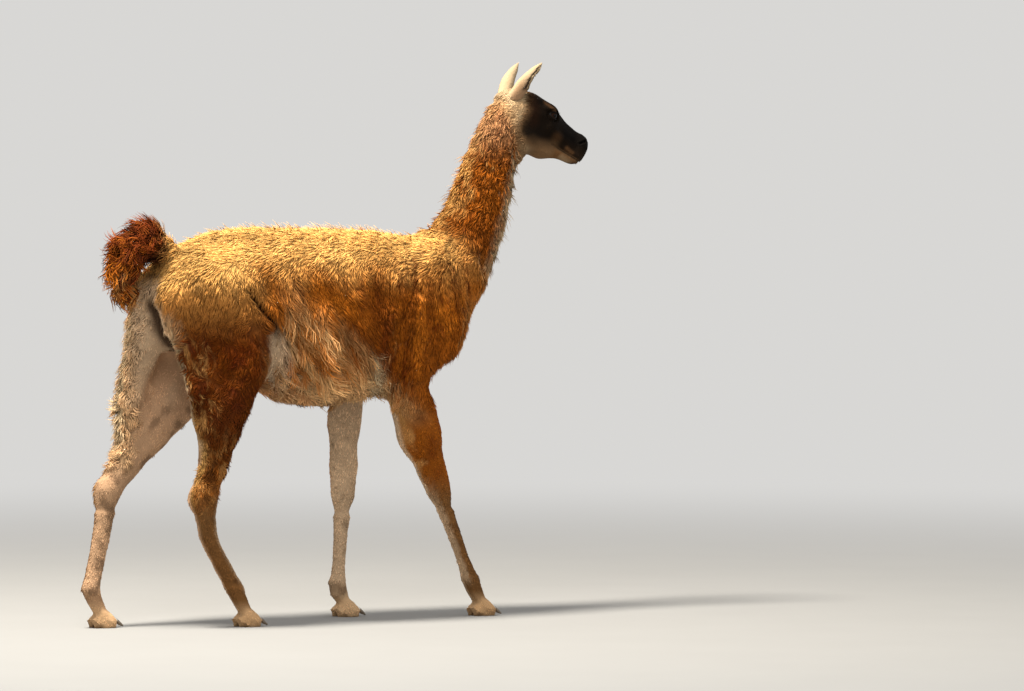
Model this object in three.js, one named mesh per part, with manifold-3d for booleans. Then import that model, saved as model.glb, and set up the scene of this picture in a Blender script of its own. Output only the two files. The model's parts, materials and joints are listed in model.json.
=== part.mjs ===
// A life-size walking guanaco, standing on four two-toed feet with its tail arched over its rump.
// Millimetres, +X towards the head, +Y towards its left side, +Z up.
import * as THREE from "three";
import { mergeVertices } from "three/addons/utils/BufferGeometryUtils.js";
import Module from "manifold-3d";

const wasm = await Module();
wasm.setup();

// Driving dimensions
const withersHeight = 1112; // ground to the top of the coat over the shoulders
const size = withersHeight / 1112; // every place below is given for this height
const seamGap = 0.3; // clearance between two nodes that touch
const headTurn = THREE.MathUtils.degToRad(-8); // the head looks a little to its right
const headPitch = THREE.MathUtils.degToRad(-22); // slope of the line from poll to lips
const poll = at(700, 0, 1420); // where the head turns on the neck
const eyeRadius = 18;

const coatColour = 0xa8642a;
const paleColour = 0xd9c3a0;
const faceColour = 0x4a4038;
const tailColour = 0x6e3517;
const nailColour = 0x2b2522;
const eyeColour = 0x120d0a;

function at(x, y, z) {
  return new THREE.Vector3(x, y, z).multiplyScalar(size);
}

// Distance functions: below zero inside the body, above zero outside

// A rod from a to b with round ends, its section narrowed sideways by `side`
function rod(a, b, radiusA, radiusB, side = 1) {
  const ax = a.x;
  const ay = a.y / side;
  const az = a.z;
  const dx = b.x - ax;
  const dy = b.y / side - ay;
  const dz = b.z - az;
  const lengthSq = dx * dx + dy * dy + dz * dz || 1;
  const ra = radiusA * size;
  const rb = radiusB * size;
  return (x, y, z) => {
    const px = x - ax;
    const py = y / side - ay;
    const pz = z - az;
    const t = Math.min(1, Math.max(0, (px * dx + py * dy + pz * dz) / lengthSq));
    return Math.hypot(px - t * dx, py - t * dy, pz - t * dz) - (ra + (rb - ra) * t);
  };
}

// A chain of rods through knots of [place, radius]
function chain(knots, side = 1, blend = 20) {
  const rods = knots.slice(1).map(([b, rb], i) => rod(knots[i][0], b, knots[i][1], rb, side));
  return softUnion(rods, blend);
}

function ball(centre, rx, ry, rz) {
  const r = Math.min(rx, ry, rz) * size;
  return (x, y, z) => {
    const q = Math.hypot((x - centre.x) / rx, (y - centre.y) / ry, (z - centre.z) / rz) / size;
    return (q - 1) * r;
  };
}

function softMin(a, b, k) {
  const h = Math.max(k - Math.abs(a - b), 0) / k;
  return Math.min(a, b) - (h * h * k) / 4;
}

function softUnion(fields, k) {
  return (x, y, z) => {
    let d = fields[0](x, y, z);
    for (let i = 1; i < fields.length; i++) d = softMin(d, fields[i](x, y, z), k * size);
    return d;
  };
}

// Trunk: sections from rump to breast, each with its top, bottom and half width
const trunkSections = [
  { x: -400, top: 1082, bottom: 770, half: 118 },
  { x: -300, top: 1118, bottom: 724, half: 148 },
  { x: -190, top: 1132, bottom: 672, half: 164 },
  { x: -60, top: 1130, bottom: 624, half: 184 },
  { x: 80, top: 1126, bottom: 608, half: 192 },
  { x: 200, top: 1122, bottom: 628, half: 182 },
  { x: 330, top: 1106, bottom: 648, half: 160 },
  { x: 430, top: 1088, bottom: 704, half: 128 },
];
const rumpCap = 72; // how far the trunk reaches behind its first section
const breastCap = 96; // and in front of its last
const trunkSquareness = 2.3;

function smoothAlong(sections, x, key) {
  const n = sections.length;
  let i = 0;
  while (i < n - 2 && x > sections[i + 1].x) i++;
  const [p0, p1, p2, p3] = [i - 1, i, i + 1, i + 2].map((j) => sections[Math.min(n - 1, Math.max(0, j))]);
  const t = Math.min(1, Math.max(0, (x - p1.x) / (p2.x - p1.x)));
  const slope1 = ((p2[key] - p0[key]) / (p2.x - p0.x || 1)) * (p2.x - p1.x);
  const slope2 = ((p3[key] - p1[key]) / (p3.x - p1.x || 1)) * (p2.x - p1.x);
  const t2 = t * t;
  const t3 = t2 * t;
  const h1 = 2 * t3 - 3 * t2 + 1;
  return h1 * p1[key] + (1 - h1) * p2[key] + (t3 - 2 * t2 + t) * slope1 + (t3 - t2) * slope2;
}

function trunk(px, py, pz) {
  const x = px / size;
  const first = trunkSections[0].x;
  const last = trunkSections[trunkSections.length - 1].x;
  const xc = Math.min(last, Math.max(first, x));
  const top = smoothAlong(trunkSections, xc, "top");
  const bottom = smoothAlong(trunkSections, xc, "bottom");
  const half = smoothAlong(trunkSections, xc, "half");
  const dx = x < first ? (first - x) / rumpCap : Math.max(0, x - last) / breastCap;
  const y = py / size;
  const z = pz / size - (top + bottom) / 2;
  const u = Math.abs(y / half) ** trunkSquareness;
  const v = Math.abs((2 * z) / (top - bottom)) ** trunkSquareness;
  const q = Math.hypot((u + v) ** (1 / trunkSquareness), dx) || 1e-6;
  const reach = Math.hypot(y, z, dx * (x < first ? rumpCap : breastCap));
  return Math.max(reach * (1 - 1 / q), -60) * size;
}

// Legs: each side has its own stride, so the joints are named for every leg. Side is -1 right, 1 left.
const strides = {
  right: {
    side: -1,
    stifle: at(-262, -114, 740),
    thighFoot: at(-318, -108, 632),
    shank: at(-324, -103, 555),
    shankLow: at(-347, -99, 455),
    hock: at(-376, -96, 362),
    heel: at(-402, -96, 374),
    hamstring: at(-392, -98, 690),
    hindCannon: at(-357, -94, 250),
    hindFetlock: at(-270, -90, 106),
    shoulder: at(418, -92, 815),
    elbow: at(296, -102, 700),
    forearm: at(340, -99, 530),
    forearmLow: at(388, -95, 420),
    knee: at(410, -93, 368),
    cannonTop: at(431, -92, 314),
    cannonLow: at(505, -90, 142),
    foreFetlock: at(521, -90, 100),
    forearmGirth: 70,
  },
  left: {
    side: 1,
    stifle: at(-285, 114, 728),
    thighFoot: at(-360, 110, 632),
    shank: at(-430, 106, 545),
    shankLow: at(-515, 101, 455),
    hock: at(-574, 98, 384),
    heel: at(-599, 98, 392),
    hamstring: at(-500, 98, 650),
    hindCannon: at(-596, 96, 262),
    hindFetlock: at(-634, 94, 104),
    shoulder: at(420, 96, 812),
    elbow: at(236, 102, 700),
    forearm: at(208, 97, 560),
    forearmLow: at(205, 93, 430),
    knee: at(201, 91, 358),
    cannonTop: at(196, 90, 296),
    cannonLow: at(183, 88, 130),
    foreFetlock: at(178, 88, 84),
    forearmGirth: 54,
  },
};

// A pastern slopes forward from its fetlock to where the two toes part
const pasternEnd = (fetlock) => fetlock.clone().add(at(0.52 * (fetlock.z / size - 46), 0, 0)).setZ(48 * size);

function hindLegField(s) {
  const girdle = at(-340, s.side * 84, 955);
  const seat = at(-430, s.side * 74, 925);
  return softUnion(
    [
      chain([[girdle, 116], [s.stifle, 90], [s.thighFoot, 82], [s.shank, 62]], 0.86, 30),
      chain([[seat, 92], [s.hamstring, 56], [s.shankLow, 34]], 0.82, 30),
      chain([[s.shank, 62], [s.shankLow, 50], [s.hock, 40]], 0.8, 20),
      chain([[s.shankLow, 36], [s.heel, 29], [s.hock, 34]], 0.8, 22),
      chain([[s.hock, 38], [s.hindCannon, 26], [s.hindFetlock, 27], [pasternEnd(s.hindFetlock), 22]], 0.94, 16),
    ],
    26,
  );
}

function foreLegField(s) {
  const blade = at(372, s.side * 96, 1000);
  const g = s.forearmGirth;
  return softUnion(
    [
      chain([[blade, 78], [s.shoulder, 74], [s.elbow, 74]], 0.72, 40),
      chain([[s.elbow, g + 8], [s.forearm, g - 2], [s.forearmLow, 45], [s.knee, 38]], 0.78, 24),
      chain([[s.knee, 36], [s.cannonTop, 25], [s.cannonLow, 20], [s.foreFetlock, 25]], 0.94, 14),
      rod(s.foreFetlock, pasternEnd(s.foreFetlock), 25, 22),
    ],
    24,
  );
}

// Neck, from its root between the shoulders to the throat
const neckKnots = [
  [at(438, 0, 928), 150],
  [at(520, 0, 1016), 126],
  [at(586, 0, 1130), 107],
  [at(634, 0, 1262), 93],
  [at(668, 0, 1362), 82],
  [at(704, 0, 1440), 69],
];
const neckNarrowing = 0.76;

// Head: places are given as (forward, height, sideways) from the poll along the head's own slope
function onHead(forward, height, sideways = 0) {
  const c = Math.cos(headPitch);
  const s = Math.sin(headPitch);
  const out = forward * c - height * s;
  const up = forward * s + height * c;
  const x = out * Math.cos(headTurn) - sideways * Math.sin(headTurn);
  const y = out * Math.sin(headTurn) + sideways * Math.cos(headTurn);
  return new THREE.Vector3(x, y, up).multiplyScalar(size).add(poll);
}

// The same frame the other way, so that a field can be written in head places
function inHead(field) {
  const ct = Math.cos(headTurn);
  const st = Math.sin(headTurn);
  const cp = Math.cos(headPitch);
  const sp = Math.sin(headPitch);
  return (x, y, z) => {
    const dx = x - poll.x;
    const dy = y - poll.y;
    const dz = z - poll.z;
    const out = dx * ct + dy * st;
    const sideways = -dx * st + dy * ct;
    return field(out * cp + dz * sp, sideways, -out * sp + dz * cp);
  };
}

const headPlace = (forward, height, sideways = 0) => at(forward, sideways, height);
const eyePlace = { forward: 106, height: 68, sideways: 44 };

const headField = inHead(
  softUnion(
    [
      ball(headPlace(30, 48), 78, 57, 56),
      ball(headPlace(42, 70), 62, 46, 40), // woolly crown
      rod(headPlace(60, 68), headPlace(130, 57), 39, 33, 1.05),
      rod(headPlace(130, 56), headPlace(236, 36), 32, 21, 0.86),
      rod(headPlace(100, 22), headPlace(232, 12), 42, 27, 0.84),
      rod(headPlace(50, -28), headPlace(130, -24), 37, 29, 0.95),
      rod(headPlace(130, -24), headPlace(206, -10), 29, 20, 0.9),
      ball(headPlace(246, 22), 22, 28, 33), // upper lip and nose
      ball(headPlace(228, -12), 28, 23, 19), // chin
      ...[-1, 1].flatMap((side) => [
        ball(headPlace(60, -4, side * 34), 44, 21, 46), // cheek
        ball(headPlace(98, 76, side * 38), 34, 24, 25), // brow
        rod(headPlace(120, 36, side * 30), headPlace(190, 22, side * 20), 22, 16), // cheek bone
      ]),
    ],
    22,
  ),
);

const neckField = chain(neckKnots, neckNarrowing, 34);
const legFields = Object.values(strides).flatMap((s) => [hindLegField(s), foreLegField(s)]);

// The whole body as one skin, without its tail
const bodyField = (() => {
  const core = softUnion([trunk, neckField], 70);
  const legged = softUnion([core, ...legFields], 40);
  return softUnion([legged, headField], 26);
})();

// The coat's depth over the solid core, from nothing on the face and lower legs to a fleece on the trunk
const coatDepth = 11;

function ramp(value, from, to) {
  const t = Math.min(1, Math.max(0, (value - from) / (to - from)));
  return t * t * (3 - 2 * t);
}

// The coat is long on the flanks and belly, the neck and the back of the thighs
function depthAt(px, py, pz) {
  const x = px / size;
  const z = pz / size;
  const flank = ramp(x, -270, -190) * (1 - ramp(x, 340, 440)) * (1 - ramp(z, 930, 1020));
  const along = 0.68 * (x - 542) + 0.73 * (z - 1040);
  const neck = ramp(along, -10, 60) * (1 - ramp(z + 0.4 * (x - 650), 1310, 1430));
  const thigh = (1 - ramp(x, -330, -270)) * ramp(z, 560, 640) * (1 - ramp(z, 860, 950));
  const trunk = ramp(z, x < -140 ? 540 : 600, x < -140 ? 640 : 680);
  return coatDepth * size * Math.max(flank * trunk, neck, thigh);
}

const coreField = (x, y, z) => bodyField(x, y, z) + depthAt(x, y, z);

// Meshing: rays leave an axis inside the body and stop where they meet its skin

function rayToSkin(field, origin, direction, reach) {
  const step = 6 * size;
  let inside = 0;
  let outside = step;
  while (outside < reach) {
    const p = origin.clone().addScaledVector(direction, outside);
    if (field(p.x, p.y, p.z) > 0) break;
    inside = outside;
    outside += step;
  }
  for (let i = 0; i < 14; i++) {
    const mid = (inside + outside) / 2;
    const p = origin.clone().addScaledVector(direction, mid);
    if (field(p.x, p.y, p.z) > 0) outside = mid;
    else inside = mid;
  }
  return origin.clone().addScaledVector(direction, (inside + outside) / 2);
}

function closedMesh(rings, startPole, endPole) {
  const sides = rings[0].length;
  const points = [...rings.flat(), startPole, endPole];
  const start = points.length - 2;
  const end = points.length - 1;
  const last = (rings.length - 1) * sides;
  const index = [];
  for (let i = 0; i < sides; i++) {
    const j = (i + 1) % sides;
    index.push(start, j, i, end, last + i, last + j);
    for (let r = 0; r < rings.length - 1; r++) {
      const a = r * sides + i;
      const b = r * sides + j;
      index.push(a, b, b + sides, a, b + sides, a + sides);
    }
  }
  return solidFrom(points.flatMap((p) => [p.x, p.y, p.z]), index);
}

function solidFrom(positions, index) {
  const build = (order) =>
    new wasm.Manifold(
      new wasm.Mesh({
        numProp: 3,
        vertProperties: new Float32Array(positions),
        triVerts: new Uint32Array(order),
      }),
    );
  const made = build(index);
  if (made.volume() > 0) return made;
  const turned = [];
  for (let i = 0; i < index.length; i += 3) turned.push(index[i], index[i + 2], index[i + 1]);
  return build(turned);
}

function solidOf(geometry) {
  const bare = geometry.clone();
  bare.deleteAttribute("normal");
  bare.deleteAttribute("uv");
  const merged = mergeVertices(bare, 1e-3);
  return solidFrom([...merged.attributes.position.array], [...merged.index.array]);
}

// A skin wrapped round an axis, with round ends: sides about it, rings along it and caps at each end
function wrap(field, axis, { sides, rings, caps = 3, reach = 420, sideways = new THREE.Vector3(0, 1, 0) }) {
  const curve = new THREE.CatmullRomCurve3(axis, false, "centripetal");
  const ring = (u, tilt) => {
    const origin = curve.getPointAt(u);
    const ahead = curve.getTangentAt(u);
    const across = sideways.clone().addScaledVector(ahead, -sideways.dot(ahead)).normalize();
    const up = new THREE.Vector3().crossVectors(ahead, across);
    return Array.from({ length: sides }, (_, i) => {
      const turn = (2 * Math.PI * (i + 0.5)) / sides;
      const direction = across.clone().multiplyScalar(Math.cos(turn) * Math.cos(tilt));
      direction.addScaledVector(up, Math.sin(turn) * Math.cos(tilt)).addScaledVector(ahead, Math.sin(tilt));
      return rayToSkin(field, origin, direction, reach * size);
    });
  };
  const tilts = Array.from({ length: caps }, (_, i) => (Math.PI / 2) * (1 - (i + 1) / (caps + 1)));
  const loops = [
    ...tilts.map((tilt) => ring(0, -tilt)),
    ...Array.from({ length: rings }, (_, i) => ring(i / (rings - 1), 0)),
    ...tilts.reverse().map((tilt) => ring(1, tilt)),
  ];
  const pole = (u, sign) =>
    rayToSkin(field, curve.getPointAt(u), curve.getTangentAt(u).multiplyScalar(sign), reach * size);
  return closedMesh(loops, pole(0, -1), pole(1, 1));
}

// A skin laid over a field in cells of one size, for the forms that fork
function net(field, low, high, cell) {
  const step = cell * size;
  for (const shift of [0, 0.31, 0.57, 0.83]) {
    const from = low.clone().subScalar(step * (1 + shift));
    const [nx, ny, nz] = ["x", "y", "z"].map((k) => Math.ceil((high[k] - from[k]) / step) + 2);
    const spot = (i, j, k) => from.clone().add(new THREE.Vector3(i, j, k).multiplyScalar(step));
    const id = (i, j, k) => (k * ny + j) * nx + i;
    const depth = new Float64Array(nx * ny * nz);
    for (let k = 0; k < nz; k++) {
      for (let j = 0; j < ny; j++) {
        for (let i = 0; i < nx; i++) {
          const p = spot(i, j, k);
          depth[id(i, j, k)] = field(p.x, p.y, p.z) || 1e-6;
        }
      }
    }
    const crossings = new Map(); // for each cell the sum of its edges' crossings and their number
    const quads = [];
    const axes = [[1, 0, 0], [0, 1, 0], [0, 0, 1]];
    for (let k = 1; k < nz - 1; k++) {
      for (let j = 1; j < ny - 1; j++) {
        for (let i = 1; i < nx - 1; i++) {
          axes.forEach(([a, b, c], along) => {
            const d0 = depth[id(i, j, k)];
            const d1 = depth[id(i + a, j + b, k + c)];
            if (d0 < 0 === d1 < 0) return;
            const crossing = spot(i, j, k).lerp(spot(i + a, j + b, k + c), d0 / (d0 - d1));
            const u = axes[(along + 1) % 3];
            const v = axes[(along + 2) % 3];
            const cells = [[0, 0], [1, 0], [1, 1], [0, 1]].map(([m, n]) =>
              id(i - m * u[0] - n * v[0], j - m * u[1] - n * v[1], k - m * u[2] - n * v[2]),
            );
            cells.forEach((cellId) => {
              const entry = crossings.get(cellId) ?? [new THREE.Vector3(), 0];
              entry[0].add(crossing);
              entry[1]++;
              crossings.set(cellId, entry);
            });
            quads.push(d0 < 0 ? cells : cells.reverse());
          });
        }
      }
    }
    const order = new Map();
    const places = [];
    for (const [cellId, [sum, count]] of crossings) {
      const p = sum.divideScalar(count);
      order.set(cellId, places.length);
      places.push(settle(field, p));
    }
    const index = quads.flatMap((quad) => {
      const [a, b, c, d] = quad.map((cellId) => order.get(cellId));
      const split = places[a].distanceTo(places[c]) < places[b].distanceTo(places[d]);
      return split ? [a, b, c, a, c, d] : [a, b, d, b, c, d];
    });
    try {
      return solidFrom(places.flatMap((p) => [p.x, p.y, p.z]), index);
    } catch {
      continue; // two sheets met in one cell, so the cells are moved
    }
  }
  throw new Error("no closed skin at this cell size");
}

// Whether each edge belongs to two faces only, also where corners lie at one place
function isPaired(solid) {
  const mesh = solid.getMesh();
  const name = (v) => {
    const place = mesh.vertProperties.subarray(v * mesh.numProp, v * mesh.numProp + 3);
    return Array.from(place, (c) => c.toFixed(3)).join();
  };
  const uses = new Map();
  for (let i = 0; i < mesh.triVerts.length; i++) {
    const next = i % 3 === 2 ? i - 2 : i + 1;
    const edge = [name(mesh.triVerts[i]), name(mesh.triVerts[next])].sort().join("|");
    uses.set(edge, (uses.get(edge) ?? 0) + 1);
  }
  return [...uses.values()].every((count) => count === 2);
}

// The net whose cut form closes well, out of a few cell sizes close to the wanted one
function cutNet(field, low, high, cell, planes) {
  for (const factor of [1, 1.03, 0.97, 1.06, 0.94]) {
    const solid = withoutTouching(largest(inRegion(net(field, low, high, cell * factor), planes)));
    if (isPaired(solid)) return solid;
  }
  throw new Error("no well closed skin near this cell size");
}

// A place moved on to the skin along the field's slope
function settle(field, place) {
  const p = place.clone();
  for (let i = 0; i < 3; i++) {
    const d = field(p.x, p.y, p.z);
    const e = 0.5;
    const slope = new THREE.Vector3(
      field(p.x + e, p.y, p.z) - field(p.x - e, p.y, p.z),
      field(p.x, p.y + e, p.z) - field(p.x, p.y - e, p.z),
      field(p.x, p.y, p.z + e) - field(p.x, p.y, p.z - e),
    ).divideScalar(2 * e);
    const length = Math.max(slope.lengthSq(), 0.2);
    p.addScaledVector(slope, -Math.max(-8, Math.min(8, d)) / length);
  }
  return p;
}

// Cuts: a region is the space in front of each of its planes, given as [point, normal, margin]

function planeOf([point, normal], shift = 0) {
  const n = normal.clone().normalize();
  return { normal: [n.x, n.y, n.z], offset: n.dot(point) + shift };
}

function inRegion(solid, planes) {
  return planes.reduce((s, plane) => {
    const { normal, offset } = planeOf(plane, seamGap / 2);
    return s.trimByPlane(normal, offset);
  }, solid);
}

function regionBlock(planes) {
  const block = solidOf(new THREE.BoxGeometry(4000, 4000, 4000));
  return planes.reduce((s, plane) => {
    const { normal, offset } = planeOf(plane, -seamGap / 2);
    return s.trimByPlane(normal, offset);
  }, block);
}

// A field that ends a little past the cut planes, so that rays stop there. The bites are whole regions
// that belong to other nodes.
function endedField(field, planes, past = 16, bites = []) {
  const faces = planes.map((plane) => planeOf(plane, -(plane[2] ?? past) * size));
  const bitten = bites.map((region) => region.map((plane) => planeOf(plane, (plane[2] ?? past) * size)));
  const side = (f, x, y, z) => f.offset - (f.normal[0] * x + f.normal[1] * y + f.normal[2] * z);
  return (x, y, z) => {
    let d = field(x, y, z);
    for (const f of faces) d = Math.max(d, side(f, x, y, z));
    for (const region of bitten) d = Math.max(d, Math.min(...region.map((f) => -side(f, x, y, z))));
    return d;
  };
}

const neckBase = [at(542, 0, 1040), new THREE.Vector3(0.68, 0, 0.73), 70];
const headBase = [at(702, 0, 1425), new THREE.Vector3(0.93, 0, 0.36), 30];
const reversed = ([point, normal, margin]) => [point, normal.clone().negate(), margin];

// Locks of hair: flat, tapered, three sided, rooted in the core and ending on the coat's outline
let seed = 7;
function chance() {
  seed = (seed * 16807) % 2147483647;
  return seed / 2147483647;
}
const vary = (value, share) => value * (1 + share * (2 * chance() - 1));

function slopeAt(field, p) {
  const e = 1;
  return new THREE.Vector3(
    field(p.x + e, p.y, p.z) - field(p.x - e, p.y, p.z),
    field(p.x, p.y + e, p.z) - field(p.x, p.y - e, p.z),
    field(p.x, p.y, p.z + e) - field(p.x, p.y, p.z - e),
  ).normalize();
}

const lockSteps = [0, 0.32, 0.7];
const lockWidths = [0.7, 1, 0.72];

// `lie` gives the hair's direction at a place; `sunk` is how deep the core lies under the outline there
function makeLock(field, root, lie, sunk, { length, width, wave = 0, lift = 2 }) {
  const rings = [];
  const swing = (2 * chance() - 1) * 0.1;
  let p = settle(field, root);
  let travelled = 0;
  let last = null;
  for (const [i, t] of [...lockSteps, 1].entries()) {
    const n = slopeAt(field, p);
    const ahead = lie(p).addScaledVector(n, -lie(p).dot(n)).normalize();
    const across = new THREE.Vector3().crossVectors(n, ahead);
    ahead.addScaledVector(across, swing + wave * Math.sin(t * Math.PI * 1.6)).normalize();
    if (t > travelled) {
      p = settle(field, p.clone().addScaledVector(ahead, (t - travelled) * length * size));
      travelled = t;
    }
    const out = slopeAt(field, p);
    const side = new THREE.Vector3().crossVectors(out, ahead).normalize();
    const under = sunk(p) + 3 * size;
    if (i === lockSteps.length) {
      last = p.clone().addScaledVector(out, 0.5 * lift * size);
      break;
    }
    const ridge = i === 0 ? -under + 2 * size : lift * size;
    const floor = -under * (i === lockSteps.length - 1 ? 0.55 : 0.8);
    const half = (width * lockWidths[i] * size) / 2;
    rings.push([
      p.clone().addScaledVector(out, ridge),
      p.clone().addScaledVector(out, floor - (i === 0 ? 9 * size : 0)).addScaledVector(side, half),
      p.clone().addScaledVector(out, floor - (i === 0 ? 9 * size : 0)).addScaledVector(side, -half),
    ]);
  }
  const start = rings[0].reduce((sum, q) => sum.add(q), new THREE.Vector3()).divideScalar(3);
  return closedMesh(rings, start, last);
}

const sunkUnder = (p) => depthAt(p.x, p.y, p.z);

// The way the hair lies over the body: back along the spine, down the sides, forward at the flank
function bodyLie(p) {
  const x = p.x / size;
  const z = p.z / size;
  const high = ramp(z, 940, 1110);
  const flank = ramp(x, -260, -90) * (1 - ramp(x, 60, 260));
  const low = 1 - ramp(z, 640, 900);
  const forward = 0.95 * flank * (0.45 + 0.55 * low) * (1 - high);
  const back = 1.5 * high + 0.25 * (1 - flank) * (1 - ramp(x, 300, 420));
  return new THREE.Vector3(forward - back, 0, -1 + 0.75 * high);
}

// Down the neck, and near its root a little backward
const neckLie = (p) => new THREE.Vector3(0.5 * ramp(p.x / size, 560, 700) - 0.75, 0, -1.25);

function hindRegion(s) {
  return [
    [at(-320, s.side * 80, 800), new THREE.Vector3(0, s.side * 0.55, -0.83)],
    [at(-158, 0, 780), new THREE.Vector3(-1, 0, -0.12), 45],
    [at(0, s.side * 4, 0), new THREE.Vector3(0, s.side, 0), 10],
  ];
}

function foreRegion(s) {
  const rear = s.elbow.x / size - 125;
  return [
    [at(300, s.side * 90, 668), new THREE.Vector3(0, s.side * 0.3, -0.95)],
    [at(rear, 0, 660), new THREE.Vector3(1, 0, 0.1), 30],
    [at(0, s.side * 4, 0), new THREE.Vector3(0, s.side, 0), 10],
  ];
}

const largest = (solid) => solid.decompose().sort((a, b) => b.volume() - a.volume())[0];

// Nodes
const guanaco = new THREE.Group();

// Corners of two sheets that meet at one place are moved a little apart, each into its own sheet
const grain = 0.02;

function withoutTouching(solid) {
  const mesh = solid.getMesh();
  const places = Array.from({ length: mesh.numVert }, (_, i) =>
    new THREE.Vector3().fromArray(mesh.vertProperties, i * mesh.numProp),
  );
  const around = places.map(() => []);
  for (let i = 0; i < mesh.triVerts.length; i++) {
    const next = i % 3 === 2 ? i - 2 : i + 1;
    around[mesh.triVerts[i]].push(mesh.triVerts[next]);
  }
  const taken = new Set();
  const key = (p) => p.toArray().map((v) => Math.round(v / grain)).join();
  places.forEach((p, i) => {
    const centre = new THREE.Vector3();
    around[i].forEach((n) => centre.addScaledVector(places[n], 1 / around[i].length));
    for (let tries = 0; taken.has(key(p)) && tries < 40; tries++) {
      const away = centre.clone().sub(p);
      p.addScaledVector(away.lengthSq() > 0 ? away.normalize() : new THREE.Vector3(0, 0, 1), 2 * grain);
    }
    taken.add(key(p));
  });
  return solidFrom(places.flatMap((p) => [p.x, p.y, p.z]), [...mesh.triVerts]);
}

function addNode(name, solid, colour, roughness = 0.9) {
  const mesh = largest(withoutTouching(largest(solid))).getMesh();
  const geometry = new THREE.BufferGeometry();
  const places = new Float32Array(mesh.numVert * 3);
  for (let i = 0; i < mesh.numVert; i++) {
    places.set(mesh.vertProperties.subarray(i * mesh.numProp, i * mesh.numProp + 3), i * 3);
  }
  geometry.setAttribute("position", new THREE.BufferAttribute(places, 3));
  geometry.setIndex(new THREE.BufferAttribute(mesh.triVerts, 1));
  const material = new THREE.MeshStandardMaterial({ color: colour, roughness, metalness: 0 });
  const node = new THREE.Mesh(geometry, material);
  node.name = name;
  guanaco.add(node);
}

// A field grown by the clearance, for the solid that a neighbour is cut with
const grown = (field) => (x, y, z) => field(x, y, z) - seamGap;

const legRegions = Object.values(strides).flatMap((s) => [hindRegion(s), foreRegion(s)]);

function torsoBody(field) {
  const core = endedField(field, [reversed(neckBase)], 60, legRegions);
  return net(core, at(-560, -230, 540), at(720, 230, 1180), 52);
}

function torsoCut(whole) {
  const trunkOnly = inRegion(whole, [reversed(neckBase)]);
  return legRegions.reduce((s, planes) => s.subtract(regionBlock(planes)), trunkOnly);
}

function isInside(p, planes, margin) {
  return planes.every((plane) => {
    const { normal, offset } = planeOf(plane, margin * size);
    return normal[0] * p.x + normal[1] * p.y + normal[2] * p.z > offset;
  });
}

function torsoLocks() {
  const locks = [];
  const rows = 5; // along the flank
  const columns = 4; // from half way down the side to the belly
  for (let i = 0; i < rows; i++) {
    const x = -190 + (i * 520) / (rows - 1);
    for (const side of [-1, 1]) {
      for (let j = 0; j < columns; j++) {
        const turn = THREE.MathUtils.degToRad(62 + (j + (i % 2) / 2) * 29);
        const origin = at(vary(x, 0.03), 0, 890);
        const direction = new THREE.Vector3(0, side * Math.sin(turn), Math.cos(turn));
        const root = rayToSkin(bodyField, origin, direction, 420 * size);
        if (legRegions.some((planes) => isInside(root, planes, -20))) continue;
        if (isInside(root, [neckBase], -40)) continue;
        locks.push(
          makeLock(bodyField, root, bodyLie, sunkUnder, {
            length: vary(178, 0.1),
            width: vary(108, 0.1),
            wave: 0.3,
            lift: 4,
          }),
        );
      }
    }
  }
  return locks;
}

const makeTorso = () => torsoCut(wasm.Manifold.union([torsoBody(coreField), ...torsoLocks()]));

// Locks round a limb: rings of places along an axis, turned against each other
function locksRound(axis, rings, around, { from = 0, to = 1, arc = [0, 360], lie, keep, shape }) {
  const curve = new THREE.CatmullRomCurve3(axis, false, "centripetal");
  const locks = [];
  for (let i = 0; i < rings; i++) {
    const u = Math.min(1, from + ((to - from) * i) / Math.max(1, rings - 1));
    const origin = curve.getPointAt(u);
    const ahead = curve.getTangentAt(u);
    const across = new THREE.Vector3(0, 1, 0).addScaledVector(ahead, -ahead.y).normalize();
    const up = new THREE.Vector3().crossVectors(ahead, across);
    for (let j = 0; j < around; j++) {
      const share = (j + (i % 2) / 2) / around;
      const turn = THREE.MathUtils.degToRad(arc[0] + (arc[1] - arc[0]) * share);
      const direction = across.clone().multiplyScalar(Math.cos(turn)).addScaledVector(up, Math.sin(turn));
      const root = rayToSkin(bodyField, origin, direction, 260 * size);
      if (keep(root)) locks.push(makeLock(bodyField, root, lie, sunkUnder, shape(i)));
    }
  }
  return locks;
}

function makeNeck() {
  const planes = [neckBase, reversed(headBase)];
  const core = net(endedField(coreField, planes), at(320, -240, 820), at(800, 240, 1580), 50);
  const locks = locksRound([at(520, 0, 1030), at(600, 0, 1180), at(640, 0, 1290), at(684, 0, 1400)], 4, 5, {
    from: 0.2,
    lie: neckLie,
    keep: (root) => isInside(root, planes, 6),
    shape: (i) => ({
      length: vary(190 - 12 * i, 0.08),
      width: vary(126 - 12 * i, 0.08),
      wave: 0.12,
      lift: 2.5,
    }),
  });
  return inRegion(wasm.Manifold.union([core, ...locks]), planes);
}

// The tail rises from the rump, arches over and hangs, its long hair standing off all round
const tailKnots = [
  [at(-402, 0, 1030), 46],
  [at(-444, 1, 1074), 58],
  [at(-496, 4, 1094), 68],
  [at(-550, 8, 1068), 68],
  [at(-572, 12, 1010), 60],
  [at(-558, 14, 956), 42],
  [at(-544, 14, 930), 20],
];
const tailCoreShare = 0.64; // the core's radius as a part of the whole tail's

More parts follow.
